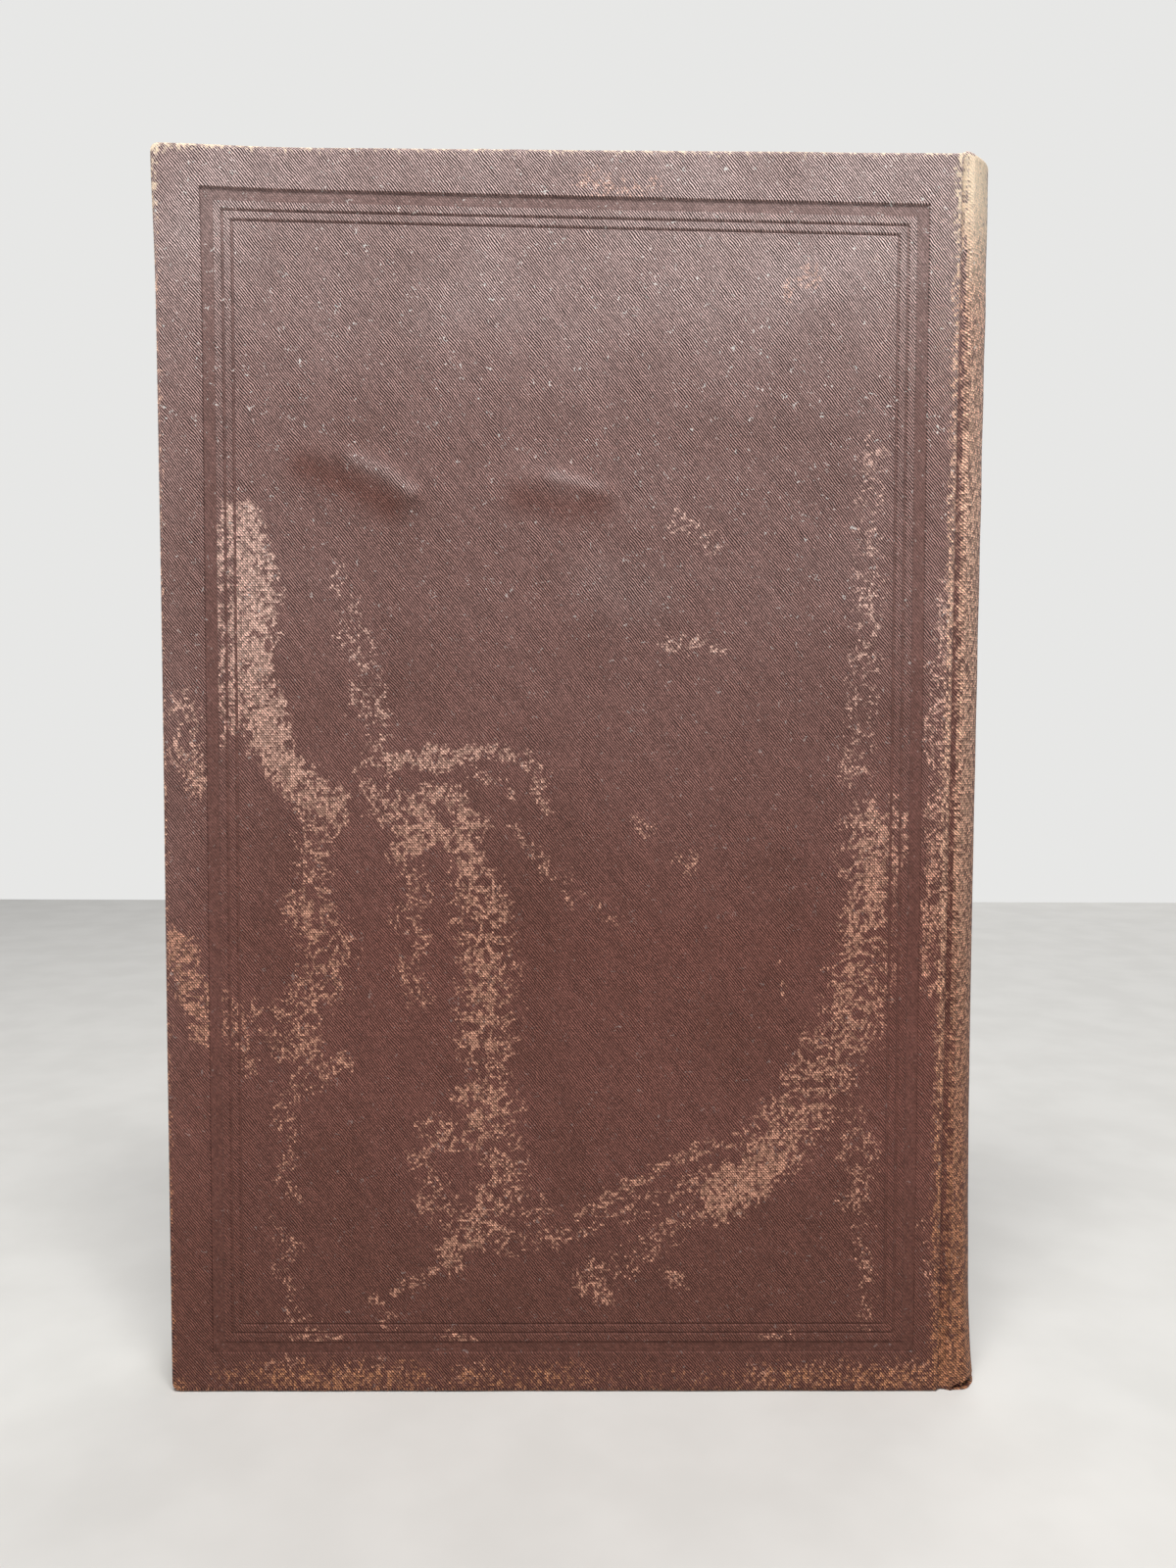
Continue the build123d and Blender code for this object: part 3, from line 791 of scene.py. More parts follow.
def cloth_over_cover(name, side, pitch, frame_depth, frame_shifts, strokes, swellings, dust_and_sheen_at, edge_wear):
    """One cover's cloth from its turned-in edges to the spine's ridge. side is -1 for the back."""
    left = frame_margins["fore"]
    right = cover_width - frame_margins["joint"]
    tail = frame_margins["tail"]
    head = book_height - frame_margins["head"]
    u_marks = [left + knot for knot in frame_knots] + [right - knot for knot in frame_knots]
    v_marks = [tail + knot for knot in frame_knots] + [head - knot for knot in frame_knots]
    face_u = grid_lines(edge_round, joint_section[0][0], pitch, u_marks)
    face_v = grid_lines(edge_round, book_height - edge_round, pitch, v_marks)
    joint_u = np.array([place for place, depth in joint_section[1:]] + [ridge_u])
    joint_d = np.array([depth for place, depth in joint_section[1:]] + [ridge_depth])
    line_u = np.concatenate([face_u, joint_u])
    line_d = np.concatenate([np.zeros(len(face_u)), joint_d])
    inner_depths = [cover_depth, 2.8, 2.75, ridge_depth + 0.8]
    line_inner = np.interp(line_u, [151.6, 152.3, 153.3, ridge_u], inner_depths)

    u = np.repeat(line_u[:, None], len(face_v), 1)
    v = np.repeat(face_v[None, :], len(line_u), 0)
    inset = np.minimum(np.minimum(u - left, right - u), np.minimum(v - tail, head - v))
    pressed = np.interp(inset, frame_knots, frame_pressed)
    over_board = 1 - smooth_step(u, 151.0, 151.6)
    depth = line_d[:, None] + 0 * v
    depth = depth + frame_depth(u, v) * pressed * over_board
    ends = np.exp(-v / 7) + np.exp(-(book_height - v) / 7)
    bridge = np.interp(u, [151.9, ridge_u], [0.0, ridge_depth])
    groove = np.clip(depth - bridge, 0, None) * (1 - over_board)
    depth = depth - groove * 0.8 * np.minimum(ends, 1)
    tail_flare = np.exp(-v / tail_flare_reach) * smooth_step(u, 152.6, ridge_u)
    depth = depth - tail_flare_out * tail_flare
    u = u + tail_flare_along * tail_flare
    board_end = 1 - smooth_step(u, 146.0, 151.4)
    for radius, height, line in swellings:
        depth = depth - height * np.exp(-((distance_to(u, v, line) / radius) ** 2)) * board_end
    slack = slack_height * ripple(u, v, slack_length, 4)
    depth = depth - slack * board_end * smooth_step(u, 1.0, 8.0)

    # The frame is a little out of square
    along_u = np.clip((u - left) / (right - left), 0, 1)
    along_v = np.clip((v - tail) / (head - tail), 0, 1)
    fade = smooth_step(inset, -7.0, -0.5) * over_board
    shift_u, shift_v = 0, 0
    for (at_u, at_v), (du, dv) in frame_shifts.items():
        share = np.abs(1 - at_u - along_u) * np.abs(1 - at_v - along_v) * fade
        shift_u = shift_u + share * du
        shift_v = shift_v + share * dv
    u, v = u + shift_u, v + shift_v
    wander_u = 0.8 * ripple(u, v, 9.0, 31) + 0.45 * ripple(u, v, 3.6, 33)
    wander_v = 0.8 * ripple(u, v, 9.0, 32) + 0.45 * ripple(u, v, 3.6, 34)
    rub = rubbing(u + wander_u, v + wander_v, strokes) * (1 - pressed)
    flat = np.stack([u, v], -1)
    columns, rows = u.shape

    # Rings over the free edges, from the tail of the ridge round the fore-edge to its head
    path = [(i, 0) for i in range(columns - 1, -1, -1)]
    path += [(0, j) for j in range(1, rows)]
    path += [(i, rows - 1) for i in range(1, columns)]
    path = np.array(path)
    start_u, start_v = u[path[:, 0], path[:, 1]], v[path[:, 0], path[:, 1]]
    start_d = depth[path[:, 0], path[:, 1]]
    on_fore = path[:, 0] == 0
    on_tail = (path[:, 1] == 0) & ~on_fore
    ring_u, ring_v, ring_d, ring_flat, ring_bare = [], [], [], [], []
    travelled, last = 0.0, (edge_round, 0.0)
    for inset_now, share in edge_section:
        travelled += math.hypot(inset_now - last[0], (share - last[1]) * cover_depth)
        last = (inset_now, share)
        drawn = inset_now - edge_round
        slide = drawn * (1 - (start_u - edge_round) / (ridge_u - edge_round))
        middle = book_height / 2
        squeeze = (middle - inset_now) / (middle - edge_round)
        ring_u.append(np.where(on_fore, start_u + drawn, start_u + slide))
        ring_v.append(middle + (start_v - middle) * squeeze)
        inner = np.interp(start_u, line_u, line_inner)
        ring_d.append(start_d + share * (inner - start_d))
        flat_u = np.where(on_fore, start_u - travelled, start_u)
        flat_v = np.where(on_fore, start_v, np.where(on_tail, start_v - travelled, start_v + travelled))
        ring_flat.append(np.stack([flat_u, flat_v], -1))
        ring_bare.append(np.full(len(path), math.exp(-(((share - 0.2) / 0.2) ** 2))))
    all_u = np.concatenate([u.ravel()] + ring_u)
    all_v = np.concatenate([v.ravel()] + ring_v)
    all_d = np.concatenate([depth.ravel()] + ring_d)
    flat = np.concatenate([flat.reshape(-1, 2)] + ring_flat)
    rings = len(edge_section)
    nothing = np.zeros(rings * len(path))

    # Board corners are rounded in plan
    for high in (False, True):
        from_end = book_height - all_v if high else all_v
        du, dv = board_corner - all_u, board_corner - from_end
        near = (du > 0) & (dv > 0)
        square, round_off = np.maximum(du, dv), np.maximum(np.hypot(du, dv), 1e-9)
        share = np.where(near, square / round_off, 1.0)
        all_u = np.where(near, board_corner - du * share, all_u)
        from_end = np.where(near, board_corner - dv * share, from_end)
        all_v = book_height - from_end if high else from_end

    # The head's fore corner is knocked out of line, the fore-edge bows in a little, and the cloth
    # stands up over the joint at the head
    corner = np.exp(-(np.hypot(all_u, book_height - all_v) / knocked_reach) ** 2)
    all_v = all_v + knocked_up * corner * smooth_step(all_v, 215, 238)
    all_u = all_u - knocked_out * corner * (1 - smooth_step(all_u, 2, 30))
    bow = fore_edge_bow * np.exp(-(((all_v - 150) / 55) ** 2))
    all_u = all_u + bow * (1 - smooth_step(all_u, 0, 7))
    rise = head_cap_rise * np.exp(-(((all_u - 153.1) / 1.0) ** 2))
    all_v = all_v + rise * smooth_step(all_v, 235, 240)

    points = np.stack([fore_x + all_u, side * (half_thickness - all_d), all_v], -1)
    face_grid = grid_faces(columns, rows, flipped=side > 0)
    start = np.arange(columns * rows).reshape(columns, rows)[path[:, 0], path[:, 1]]
    ring_index = [start] + [columns * rows + k * len(path) + np.arange(len(path)) for k in range(rings)]
    ring_faces = []
    for outer, inner in zip(ring_index[:-1], ring_index[1:]):
        quads = np.stack([outer[:-1], outer[1:], inner[1:], inner[:-1]], 1)
        ring_faces.append(quads[:, ::-1] if side > 0 else quads)
    faces = np.concatenate([face_grid] + ring_faces)

    cloth_u, cloth_v = flat[:, 0], flat[:, 1]
    bare = np.concatenate([edge_wear(u, v).ravel(), np.concatenate(ring_bare)])
    near_edge = np.minimum(np.minimum(all_u, all_v), book_height - all_v)
    bare = np.maximum(bare * 0.62, 0.55 * np.exp(-np.maximum(near_edge, 0) / 0.6) * (cloth_u >= 0))
    tail_corner = np.exp(-((np.hypot(all_u, all_v) / 3.0) ** 2))
    head_corner = np.exp(-((np.hypot(all_u, book_height - all_v) / 1.5) ** 2))
    bare = np.maximum(bare, np.maximum(tail_corner, head_corner))
    bare[: columns * rows] = np.maximum(bare[: columns * rows], edge_wear(u, v).ravel())
    fields = {
        "cloth_place": np.stack([cloth_u if side < 0 else 330 - cloth_u, cloth_v, 0 * cloth_u], -1),
        "rub": np.concatenate([rub.ravel(), nothing]),
        "dust_and_sheen": dust_and_sheen_at(all_u, all_v),
        "bare": bare,
        "pressed": np.concatenate([pressed.ravel(), nothing]),
    }
    made = mesh_piece(name, points, faces, book_cloth, fields)
    side_name = "back" if side < 0 else "front"
    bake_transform(made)
    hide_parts(f"{side_name}_cloth")


book_cloth = cloth_finish("ribbed_book_cloth")

# Where the back cover is rubbed, in millimetres from its fore-edge and its tail
back_strokes = [
    # beside the fore rules, down to the swept patch
    (3.4, 1.00, [(15.5, 170), (17.6, 163), (18.8, 157), (17.5, 151), (17.4, 145), (18.2, 138), (20, 131)]),
    (0.9, 0.95, [(14.1, 166), (14.1, 131)]),
    (0.8, 0.70, [(11.9, 170), (11.9, 128)]),
    (3.0, 0.92, [(20, 131), (24, 123), (30, 117), (33, 116)]),
    (3.0, 0.55, [(30, 116), (29, 108), (28.5, 92)]),
    (4.2, 0.62, [(28.5, 96), (31.5, 89), (31, 82)]),
    (4.0, 0.55, [(31, 82), (25, 75), (27, 69)]),
    (1.7, 0.50, [(17, 77), (21, 72), (24, 66), (27, 61), (32, 65), (35, 66)]),
    (1.5, 0.42, [(26, 62), (22, 56), (25, 50), (22, 44), (25, 40)]),
    (1.3, 0.40, [(20, 34), (25, 29), (21, 25), (26, 20), (22, 16), (28, 14)]),
    # fore-edge margin
    (2.4, 0.66, [(4, 136), (6, 133), (4.5, 127), (6.6, 121)]),
    (2.6, 0.85, [(2, 90), (4, 85), (6.5, 79), (7.4, 73)]),
    (2.0, 0.50, [(11.5, 79), (14, 72), (16, 66)]),
    # thin lines over the middle
    (1.6, 0.44, [(34, 162), (36, 154), (35, 149), (40, 142), (37, 137), (43, 132)]),
    (1.6, 0.42, [(38.5, 151), (41.5, 138), (41.5, 126), (38, 124)]),
    (1.2, 0.55, [(36, 136), (42, 138), (43, 131), (40, 126)]),
    # the broken ring
    (1.7, 0.88, [(42, 125), (48, 125.5), (56, 125), (60, 127)]),
    (1.1, 0.58, [(60, 127), (65, 127.5), (70, 125.5), (73.5, 122), (72, 119.5), (74, 116)]),
    (1.3, 0.55, [(43, 124), (39.5, 120), (41, 116), (46, 112)]),
    (2.3, 0.80, [(44, 117), (49, 115.5), (52, 111.5), (46, 109)]),
    (2.2, 0.78, [(52, 119), (57, 117), (60, 113), (56, 110)]),
    (1.0, 0.48, [(60, 122), (64, 121), (67, 119)]),
    (2.3, 0.72, [(57, 109), (60, 104), (61, 99), (65, 96)]),
    (1.0, 0.46, [(67, 112.5), (69, 110), (73, 106), (75, 102), (79, 98)]),
    (1.0, 0.36, [(78, 104), (84, 97), (88, 93)]),
    # the middle band
    (4.6, 0.60, [(60, 100), (61.5, 92), (63, 82), (62, 70)]),
    (3.2, 0.74, [(62, 88), (62.5, 78), (60, 70)]),
    (2.0, 0.46, [(47, 104), (50, 100), (46, 95), (50, 91), (47, 84), (49.5, 79)]),
    (2.6, 0.56, [(63, 66), (66, 57), (62, 52), (56, 51), (52, 54)]),
    (1.7, 0.82, [(58, 60), (62, 61), (64.5, 57), (60, 54.5)]),
    (0.30, 1.0, [(51.5, 49.4), (58, 53.4), (65, 58.6)]),
    (3.8, 0.56, [(66, 48), (64, 40), (61, 33)]),
    (2.2, 0.50, [(49, 47), (53, 42), (50, 37), (57, 36)]),
    (2.0, 0.74, [(63, 33), (58, 31), (55, 29), (56, 26)]),
    (1.2, 0.50, [(55, 27), (51, 23), (45, 21), (40, 18), (44, 14)]),
    (1.8, 0.44, [(68, 42), (73, 38), (70, 34)]),
    # beside the joint rules, sweeping to the tail
    (2.4, 0.44, [(136.5, 186), (134.5, 170), (135.5, 150), (133.5, 123)]),
    (1.0, 0.46, [(131, 127), (134, 118), (137, 113)]),
    (4.2, 0.72, [(136.5, 113), (136.5, 102), (136, 93), (135, 84)]),
    (2.4, 0.92, [(138, 112), (138, 104), (137, 98)]),
    (5.0, 0.66, [(135, 84), (133.5, 74), (129, 66)]),
    (1.0, 0.52, [(129, 73), (124, 71), (126, 64)]),
    (5.2, 0.66, [(129, 66), (124, 57), (118, 50)]),
    (3.6, 0.92, [(119, 48), (114, 43), (108, 39)]),
    (1.0, 0.52, [(134, 53), (132, 46), (136, 42), (132, 38)]),
    (2.4, 0.42, [(133, 56), (137, 48), (136, 36)]),
    (0.8, 0.85, [(141.1, 119), (141.1, 103)]),
    (0.8, 0.78, [(143.2, 115), (143.2, 106)]),
    (1.4, 0.46, [(136, 30), (138, 22), (137, 14)]),
    # right margin
    (1.0, 0.66, [(147.6, 117), (148.6, 104), (147.8, 88), (150, 79)]),
    (1.5, 0.62, [(150.5, 160), (149.3, 143), (148, 131), (149.6, 118), (150.6, 96)]),
    (1.2, 0.50, [(148, 34), (150, 28), (151, 22)]),
    # the long swoop towards the tail
    (1.1, 0.56, [(113, 51), (105, 49.5), (97, 46), (88, 40.5), (80, 35)]),
    (1.6, 0.46, [(106, 45), (98, 40), (86, 35), (74, 31), (62, 30)]),
    (2.4, 0.42, [(102, 36), (92, 28), (83, 23)]),
    (1.5, 0.60, [(84, 26), (81, 22), (86, 19)]),
    (1.4, 0.58, [(98, 24), (101.5, 22.5)]),
    # small rubs
    (1.2, 0.55, [(97, 148.5), (103, 148), (108, 146)]),
    (0.9, 0.50, [(91, 114), (94, 111)]),
    (0.9, 0.50, [(99, 107), (101.5, 103), (103, 108)]),
    (0.8, 0.45, [(119, 85), (120.5, 79)]),
    (1.4, 0.45, [(98, 172), (106, 166)]),
    (1.8, 0.55, [(81, 234), (88, 232), (94, 234)]),
    (1.2, 0.50, [(124, 218), (120, 214)]),
    # tail margin and the strips between its rules
    (2.2, 0.42, [(20, 6.2), (27, 3.0), (35, 4.2), (44, 3.2)]),
    (1.8, 0.36, [(56, 3.5), (62, 4.8)]),
    (2.2, 0.36, [(117, 3.0), (128, 4.2), (139, 3.0), (150, 4.6)]),
    (0.7, 0.80, [(24, 11.2), (34, 11.2)]),
    (0.7, 0.55, [(54, 11.2), (60, 11.2)]),
    (0.7, 0.50, [(117, 11.2), (123, 11.2)]),
]

# Raised blisters and small creases in the cloth: width, height and line
back_swellings = [
    (1.7, 0.75, [(35, 183), (40, 181.2), (45, 178.6), (48.5, 175.5)]),
    (4.0, 0.5, [(30, 181), (40, 178), (46, 175)]),
    (1.8, 0.45, [(72, 179.2), (79, 178.6), (86, 176)]),
    (4.0, 0.35, [(69, 177), (80, 176)]),
    (3.0, 0.22, [(28, 176), (38, 172)]),
    (0.9, 0.30, [(62, 239), (64, 236), (65.5, 232.5)]),
    (0.8, 0.22, [(68.5, 238.5), (70, 236)]),
]


# Painted highlights along the blisters' upper sides and painted shade under them, then broad greyer
# patches: width, change and line
dust_and_light_marks = [
    # painted highlight on each blister's upper side and painted shade under it
    (1.2, 0.30, [(37, 182.4), (43, 180), (48, 176.6)]),
    (3.4, -0.20, [(28, 181), (36, 178), (44, 174)]),
    (0.9, 0.28, [(75, 179.5), (84, 177.5)]),
    (3.2, -0.16, [(69, 175.5), (78, 173.5), (83, 174)]),
    # broad greyer patches
    (7.0, 0.16, [(52, 210), (62, 214)]),
    (6.0, 0.14, [(84, 160), (92, 157)]),
    (5.0, 0.12, [(120, 216), (134, 222)]),
    (6.0, 0.12, [(6, 226), (14, 232)]),
]


def dust_and_sheen_from_head(u, v):
    """Grey dust, fading and a painted sheen of the overhead light that thin out from the head down."""
    heights = [0, 90, 108, 135, 165, 187, 196, 205, 215, 232, 240]
    amounts = [0.0, 0.0, 0.05, 0.14, 0.27, 0.36, 0.44, 0.58, 0.72, 0.88, 0.96]
    dust_and_sheen = np.interp(v, heights, amounts) * (0.84 + 0.27 * smooth_step(u, 40, 150))
    fore_margin = 0.14 * np.exp(-u / 9) * smooth_step(v, 20, 120)
    dust_and_sheen = dust_and_sheen + fore_margin * (1 - dust_and_sheen)
    in_joint = smooth_step(u, 151.9, 152.6) * (1 - smooth_step(v, 205, 235))
    return np.clip(dust_and_sheen, 0, 1) * (1 - 0.5 * in_joint)


def back_dust_and_sheen(u, v):
    """The same dust, fading and painted sheen with the back cover's own marks."""
    dust_and_sheen = dust_and_sheen_from_head(u, v)
    for radius, change, line in dust_and_light_marks:
        dust_and_sheen = dust_and_sheen + change * np.exp(-((distance_to(u, v, line) / radius) ** 2))
    return np.clip(dust_and_sheen, 0, 1)


def back_edge_wear(u, v):
    """Wear along the joint: both edges of the groove, least near the tail."""
    edge_heights = [0, 12, 40, 90, 175, 200, 225, 240]
    edge_strength = np.interp(v, edge_heights, [0.62, 0.5, 0.56, 0.66, 0.62, 0.5, 0.6, 0.75])
    edge_width = np.interp(v, [0, 60, 120, 180, 240], [0.9, 1.3, 1.2, 0.8, 0.7])
    joint_edge = edge_strength * np.exp(-(((u - 151.3) / edge_width) ** 2))
    ridge_strength = np.interp(v, [0, 25, 80, 140, 210, 240], [0.66, 0.52, 0.64, 0.7, 0.85, 1.0])
    ridge = smooth_step(u, 153.0, 153.7) * ridge_strength
    in_groove = smooth_step(u, 151.9, 152.3)
    groove = 0.16 * in_groove + 0.6 * in_groove * smooth_step(v, 218, 232)
    handled = 0.72 * np.exp(-(((u - 153.2) / 2.6) ** 2)) * (1 - smooth_step(v, 12, 27))
    tail_strength = np.interp(
        u, [8, 16, 30, 48, 54, 61, 67, 76, 86, 112, 122, 142, 152],
        [0.1, 0.42, 0.5, 0.42, 0.15, 0.42, 0.28, 0.42, 0.1, 0.15, 0.42, 0.48, 0.5],
    )
    tail_margin = tail_strength * np.exp(-(((v - 2.5) / 3.4) ** 2))
    worn = np.maximum(np.maximum(joint_edge, ridge), np.maximum(groove, handled))
    return np.maximum(worn, tail_margin)


cloth_over_cover(
    "back_cover_cloth", -1, 0.76,
    frame_depth=lambda u, v: 0.22 + 0.12 * smooth_step(v, 120, 225),
    frame_shifts={
        (0, 1): (0.42, 0.89), (1, 1): (-0.59, -1.03), (1, 0): (0.56, 0.07), (0, 0): (-0.26, -0.07),
    },
    strokes=back_strokes, swellings=back_swellings, dust_and_sheen_at=back_dust_and_sheen, edge_wear=back_edge_wear,
)

# ---------------------------------------------------------------------------------------------
# Front cover cloth: the same cloth and blind frame on the other board, finished more plainly,
# with light rubbing where the book has lain and been held.
# ---------------------------------------------------------------------------------------------
front_strokes = [
    (4.0, 0.52, [(134, 170), (132, 140), (134, 112)]),
    (5.0, 0.46, [(40, 96), (52, 74), (60, 52)]),
    (3.0, 0.50, [(100, 60), (88, 44), (70, 32)]),
    (2.5, 0.55, [(3, 120), (6, 96), (4, 70)]),
    (2.0, 0.60, [(24, 4), (60, 3), (96, 4)]),
    (2.0, 0.50, [(148, 150), (149, 110), (148, 70)]),
    (1.6, 0.42, [(70, 150), (84, 144), (96, 146)]),
]
front_swellings = [(3.0, 0.18, [(52, 168), (64, 165)])]
cloth_over_cover(
    "front_cover_cloth", 1, 1.25,
    frame_depth=lambda u, v: 0.22 + 0 * v,
    frame_shifts={(0, 1): (0.2, 0.1), (1, 1): (0.1, 0.2), (1, 0): (-0.2, 0.1), (0, 0): (0.1, -0.1)},
    strokes=front_strokes, swellings=front_swellings, dust_and_sheen_at=dust_and_sheen_from_head, edge_wear=back_edge_wear,
)

# ---------------------------------------------------------------------------------------------
# Spine cloth: the same cloth round the back, from ridge to ridge, with its ends turned in as
# rounded caps. The tail is splayed and its cap is torn, with loose threads under it.
# ---------------------------------------------------------------------------------------------
spine_columns = 72
turn_in_gap = 1.25


def spine_splay(angle, v):
    """How far the spine stands out past its round shape: it is trodden out towards the tail."""
    share = np.abs(angle) / spine_half_angle
    off_ridge = 1 - smooth_step(share, 0.72, 1.0)
    fading = 0.30 * np.exp(-v / 7) + 0.70 * np.exp(-v / 36)
    middle = np.interp(share, [0, 0.5, 1.0], [1.6, 2.5, 2.3]) * fading
    at_ridge = 0.73 * np.exp(-v / tail_flare_reach)
    uneven = 0.06 * ripple(angle * 10, v, 30.0, 9) * (1 - share ** 4)
    return off_ridge * middle + (1 - off_ridge) * at_ridge + uneven


def torn_edge(angle):
    """Height of the outer layer's torn edge over the thin lip that is left under it."""
    wave = 0.5 + 0.5 * np.sin(angle * 9 + 0.8) * np.cos(angle * 17 + 0.4)
    torn_at = [-58, -54, -48, -30, -5, 12, 30]
    torn = np.interp(np.degrees(angle), torn_at, [0.0, 0.35, 0.8, 1.0, 0.75, 0.3, 0.0])
    return lip_top + 0.1 + torn * (0.9 + 0.6 * wave + 0.4 * np.random.default_rng(21).random(len(angle)))


lip_top = 0.34
cap_top = -0.2
angles = np.linspace(-spine_half_angle, spine_half_angle, spine_columns + 1)
torn_height = torn_edge(angles)
cap_height = book_height + cap_top * (1 - (np.abs(angles) / spine_half_angle) ** 6) - 0.3
tail_heights = [turn_in_width, 6.0, 2.0, 0.4, 0.02, 0.0, 0.12, lip_top]
tail_insets = [turn_in_gap, turn_in_gap, turn_in_gap, turn_in_gap, 0.95, 0.35, 0.14, 0.25]
head_heights = [book_height - 2.0, book_height - 6.0, book_height - turn_in_width]
spine_rows = [(height + 0 * angles, inset) for height, inset in zip(tail_heights, tail_insets)]
spine_rows += [(lip_top + 0 * angles, 1.1), (torn_height, 1.1), (torn_height, 0.12)]
spine_rows += [(torn_height + share * (4.0 - torn_height), 0.0) for share in np.linspace(0.02, 1, 9)[:-1]]
spine_rows += [(height + 0 * angles, 0.0) for height in grid_lines(4.0, book_height - 4.0, 1.1)]
for share in np.linspace(0, 1, 8)[1:]:
    spine_rows.append((book_height - 4.0 + share * (cap_height - book_height + 4.0), 0.0))
for turn in np.linspace(0, math.pi, 9)[1:-1]:
    spine_rows.append((cap_height + 0.41 * math.sin(turn), turn_in_gap / 2 * (1 - math.cos(turn))))
spine_rows += [(height + 0 * angles, turn_in_gap) for height in head_heights]
spine_v = np.stack([height for height, inset in spine_rows], 1)
spine_in = np.stack([inset + 0 * angles for height, inset in spine_rows], 1)
turn_angle = np.repeat(angles[:, None], spine_v.shape[1], 1)
radius = spine_radius / mm + spine_splay(turn_angle, spine_v) - spine_in
points = np.stack([
    spine_centre_x / mm + radius * np.cos(turn_angle),
    radius * np.sin(turn_angle),
    spine_v,
], -1)
ridge_height = np.abs(turn_angle) / spine_half_angle
flat_u = ridge_u + (turn_angle + spine_half_angle) * spine_radius / mm
ridge_strength = np.interp(spine_v, [0, 25, 80, 140, 210, 240], [0.72, 0.58, 0.68, 0.72, 0.85, 1.0])
ridge_wear = (0.3 + 0.7 * smooth_step(ridge_height, 0.3, 0.62)) * ridge_strength
cap_wear = np.maximum(np.exp(-((book_height - spine_v) / 5)), 0.9 * np.exp(-spine_v / 5))
# The slit under the torn tail cap keeps no wear and shows dark maroon: painted shade in the gap
slit_painted_shade = np.zeros(spine_v.shape[1])
slit_painted_shade[len(tail_heights):len(tail_heights) + 2] = 1.0
spine_bare = np.clip(np.maximum(ridge_wear, cap_wear), 0, 1)
spine_cloth = mesh_piece(
    "spine_cover_cloth", points.reshape(-1, 3), grid_faces(*spine_v.shape), book_cloth,
    {
        "cloth_place": np.stack([flat_u, spine_v, 0 * flat_u], -1).reshape(-1, 3),
        "rub": (0.3 + 0.2 * ripple(flat_u, spine_v, 22.0, 6)).ravel(),
        "dust_and_sheen": dust_and_sheen_from_head(flat_u, spine_v).ravel(),
        "bare": (spine_bare * (1 - slit_painted_shade)).ravel(),
        "pressed": np.zeros(spine_v.size),
    },
)
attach(spine_cloth, "book_block")
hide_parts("spine_cloth")

loose_thread_count = 34
loose_thread_radius = 0.00005
loose_thread_length = 0.0014


def loose_threads_tree(finish):
    number = "NodeSocketFloat"
    tree, given = start_tree("loose_threads", {
        "Arc Radius": (number, 0.01),
        "Start Angle": (number, 0.0),
        "Sweep Angle": (number, 1.0),
        "Centre": ("NodeSocketVector", None),
        "Threads": ("NodeSocketInt", 20),
        "Length": (number, 0.0015),
        "Thread Radius": (number, 0.00005),
        "Seed": ("NodeSocketInt", 5),
    })
    arc = shape_node(tree, "CurveArc", {
        "Radius": given["Arc Radius"], "Start Angle": given["Start Angle"],
        "Sweep Angle": given["Sweep Angle"], "Resolution": 40,
    }, mode="RADIUS")
    roots = shape_node(tree, "CurveToPoints", {"Curve": arc, "Count": given["Threads"]}, mode="COUNT")
    tip = point_at(tree, z=times(tree, given["Length"], -0.8))
    bend = point_at(tree, x=times(tree, given["Length"], 0.45), z=times(tree, given["Length"], -0.45))
    hair_inputs = {"Resolution": 6, "Start": (0, 0, 0), "Middle": bend, "End": tip}
    hair = shape_node(tree, "CurveQuadraticBezier", hair_inputs)
    ring = shape_node(tree, "CurvePrimitiveCircle", {"Resolution": 4, "Radius": given["Thread Radius"]})
    strand = shape_node(tree, "CurveToMesh", {"Curve": hair, "Profile Curve": ring, "Fill Caps": True})
    turn = add_node(tree, "FunctionNodeRandomValue", {
        "Min": (-0.5, -0.5, -3.1), "Max": (0.5, 0.5, 3.1), "Seed": given["Seed"],
    }, data_type="FLOAT_VECTOR").outputs[0]
    size_range = {2: 0.4, 3: 1.2, "Seed": given["Seed"]}
    size = add_node(tree, "FunctionNodeRandomValue", size_range, data_type="FLOAT").outputs[1]
    strands = shape_node(tree, "InstanceOnPoints", {
        "Points": roots, "Instance": strand, "Rotation": turn, "Scale": size,
    })
    placed = shape_node(tree, "Transform", {"Geometry": strands, "Translation": given["Centre"]})
    close_tree(tree, placed, finish)
    return tree


frayed_finish = thread_finish("frayed_cloth_thread", (0.42, 0.24, 0.11, 1), (0.20, 0.10, 0.045, 1))
loose_threads = grow("loose_tail_threads", loose_threads_tree(frayed_finish), {
    "Arc Radius": spine_radius + 1.5 * mm,
    "Start Angle": math.radians(-46),
    "Sweep Angle": math.radians(44),
    "Centre": (spine_centre_x, 0.0, 1.5 * mm),
    "Threads": loose_thread_count,
    "Length": loose_thread_length,
    "Thread Radius": loose_thread_radius,
    "Seed": 5,
})
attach(loose_threads, "book_block")

# ---------------------------------------------------------------------------------------------
# Studio: a pale floor, soft light from above and in front, and a camera a hand's span from
# the back cover, just above the book's middle.
# ---------------------------------------------------------------------------------------------
camera_place = (0.0002, -0.2363, 0.1334)
camera_yaw = math.radians(0.51)
camera_pitch = math.radians(3.17)
camera_roll = math.radians(0.25)
camera_lens = 27.0
camera_sensor = 36.0
floor_half = 0.62
floor_colour = (0.68, 0.665, 0.63, 1)
floor_light = (0.72, 0.705, 0.67, 1)
backdrop_colour = (0.80, 0.80, 0.79, 1)
sky_colour = (0.9, 0.93, 1.0, 1)
sky_strength = 0.17

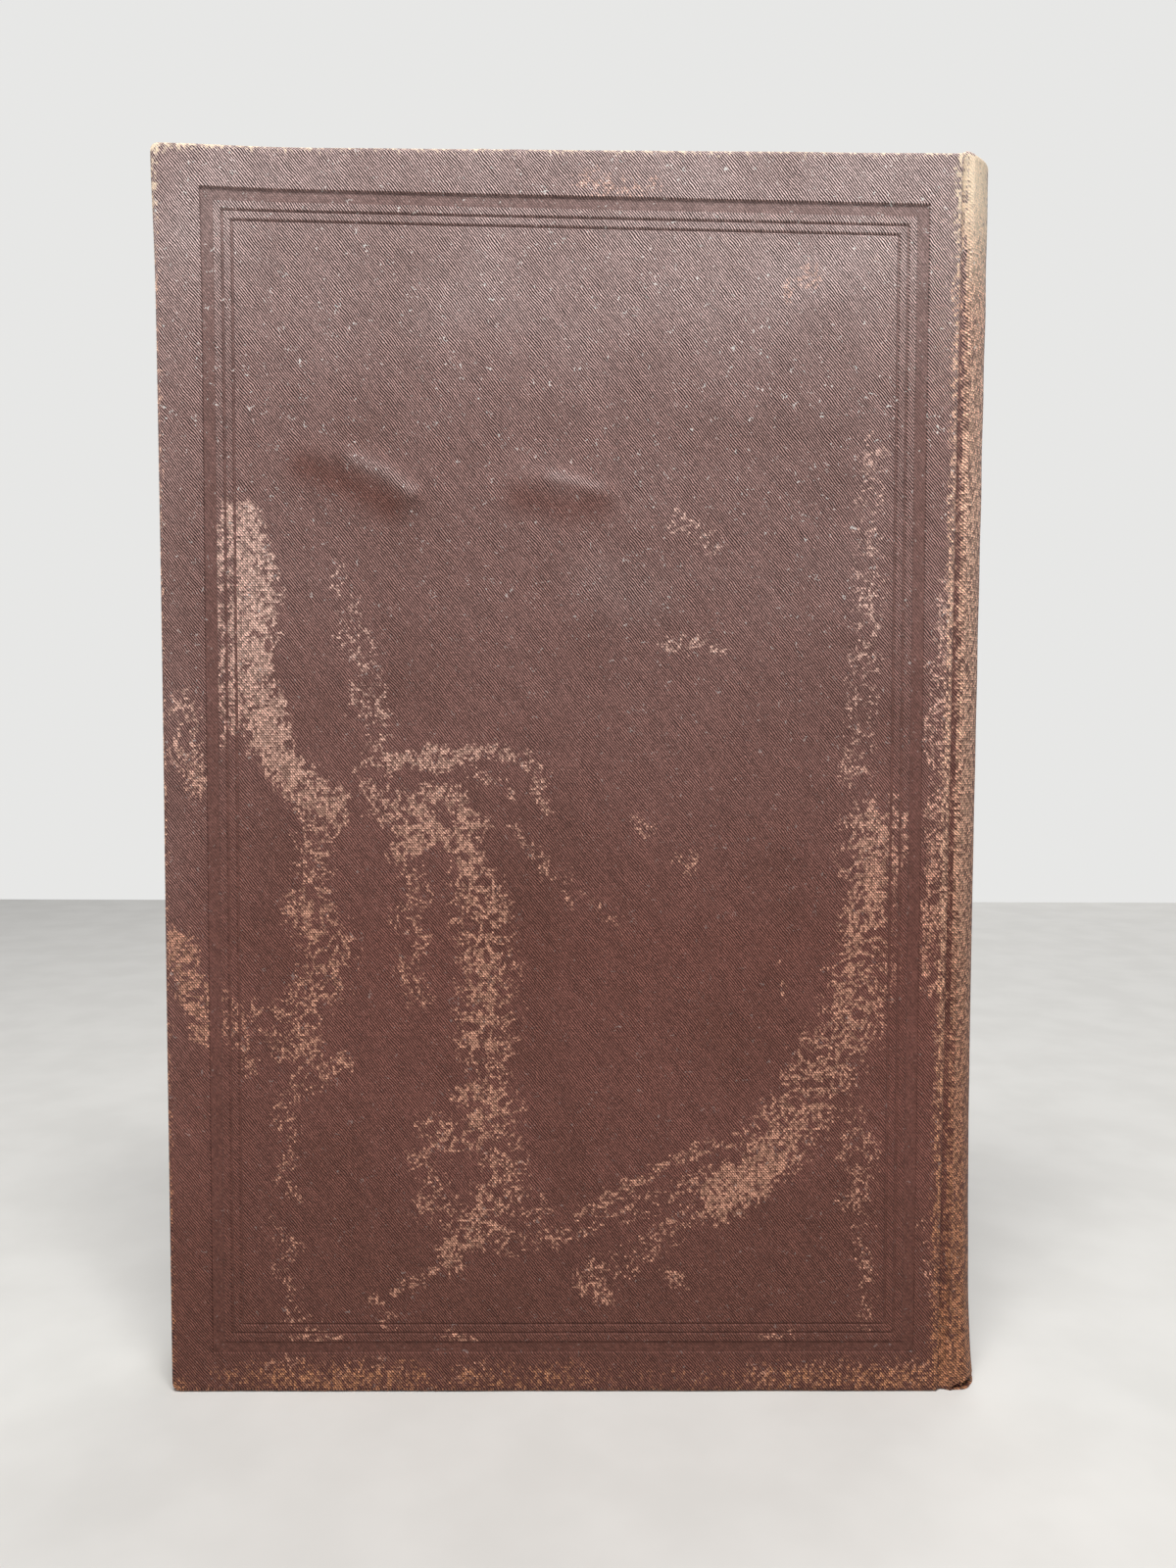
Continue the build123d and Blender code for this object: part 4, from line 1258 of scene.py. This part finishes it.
forward = Vector((
    math.sin(camera_yaw) * math.cos(camera_pitch),
    math.cos(camera_yaw) * math.cos(camera_pitch),
    -math.sin(camera_pitch),
))
level = Vector((math.cos(camera_yaw), -math.sin(camera_yaw), 0))
upward = level.cross(forward)
right_way = math.cos(camera_roll) * level + math.sin(camera_roll) * upward
up_way = -math.sin(camera_roll) * level + math.cos(camera_roll) * upward
camera_data = bpy.data.cameras.new("camera")
camera_data.lens = camera_lens
camera_data.sensor_width = camera_sensor
camera_data.clip_start = 0.01
camera = bpy.data.objects.new("camera", camera_data)
bpy.context.scene.collection.objects.link(camera)
camera.matrix_world = Matrix((
    (right_way.x, up_way.x, -forward.x, camera_place[0]),
    (right_way.y, up_way.y, -forward.y, camera_place[1]),
    (right_way.z, up_way.z, -forward.z, camera_place[2]),
    (0, 0, 0, 1),
))
bpy.context.scene.camera = camera

floor_mesh = bpy.data.meshes.new("floor")
corners = [(x * floor_half, y * floor_half, 0) for x, y in ((-1, -1), (1, -1), (1, 1), (-1, 1))]
floor_mesh.from_pydata(corners, [], [(0, 1, 2, 3)])
floor_finish, floor_tree, floor_shader = new_finish("pale_floor", roughness=0.85, specular_ior_level=0.2)
floor_mottle = grain(floor_tree, object_place(floor_tree), 40.0, 3.0)
floor_share = ease(floor_tree, floor_mottle, 0.3, 0.7)
floor_tone = blend_colours(floor_tree, floor_share, floor_colour, floor_light)
floor_tree.links.new(floor_tone, floor_shader.inputs["Base Color"])
floor_mesh.materials.append(floor_finish)
floor = bpy.data.objects.new("floor", floor_mesh)
bpy.context.scene.collection.objects.link(floor)


def soft_lamp(name, place, aim, width, height, watts):
    data = bpy.data.lights.new(name, "AREA")
    data.shape = "RECTANGLE"
    data.size = width
    data.size_y = height
    data.energy = watts
    lamp = bpy.data.objects.new(name, data)
    bpy.context.scene.collection.objects.link(lamp)
    lamp.location = place
    lamp.rotation_mode = "QUATERNION"
    lamp.rotation_quaternion = (Vector(aim) - Vector(place)).to_track_quat("-Z", "Y")


soft_lamp("overhead_lamp", (0.0, -0.42, 1.05), (0.0, 0.0, 0.14), 0.6, 0.25, 11.6)
soft_lamp("front_lamp", (-0.55, -1.15, 0.55), (0.0, 0.0, 0.12), 1.0, 1.0, 2.6)
soft_lamp("back_lamp", (0.6, 1.2, 0.8), (0.0, 0.0, 0.12), 1.2, 1.2, 9.0)

world = bpy.data.worlds.new("studio")
bpy.context.scene.world = world
world.use_nodes = True
sky_tree = world.node_tree
soft_sky = sky_tree.nodes["Background"]
soft_sky.inputs["Color"].default_value = sky_colour
soft_sky.inputs["Strength"].default_value = sky_strength
seen_sky = add_node(sky_tree, "ShaderNodeBackground", {"Color": backdrop_colour, "Strength": 1.0})
ray = add_node(sky_tree, "ShaderNodeLightPath")
sky_mix = add_node(sky_tree, "ShaderNodeMixShader", {0: ray.outputs["Is Camera Ray"]})
sky_tree.links.new(soft_sky.outputs[0], sky_mix.inputs[1])
sky_tree.links.new(seen_sky.outputs[0], sky_mix.inputs[2])
sky_tree.links.new(sky_mix.outputs[0], sky_tree.nodes["World Output"].inputs["Surface"])
bpy.context.scene.view_settings.view_transform = "Standard"
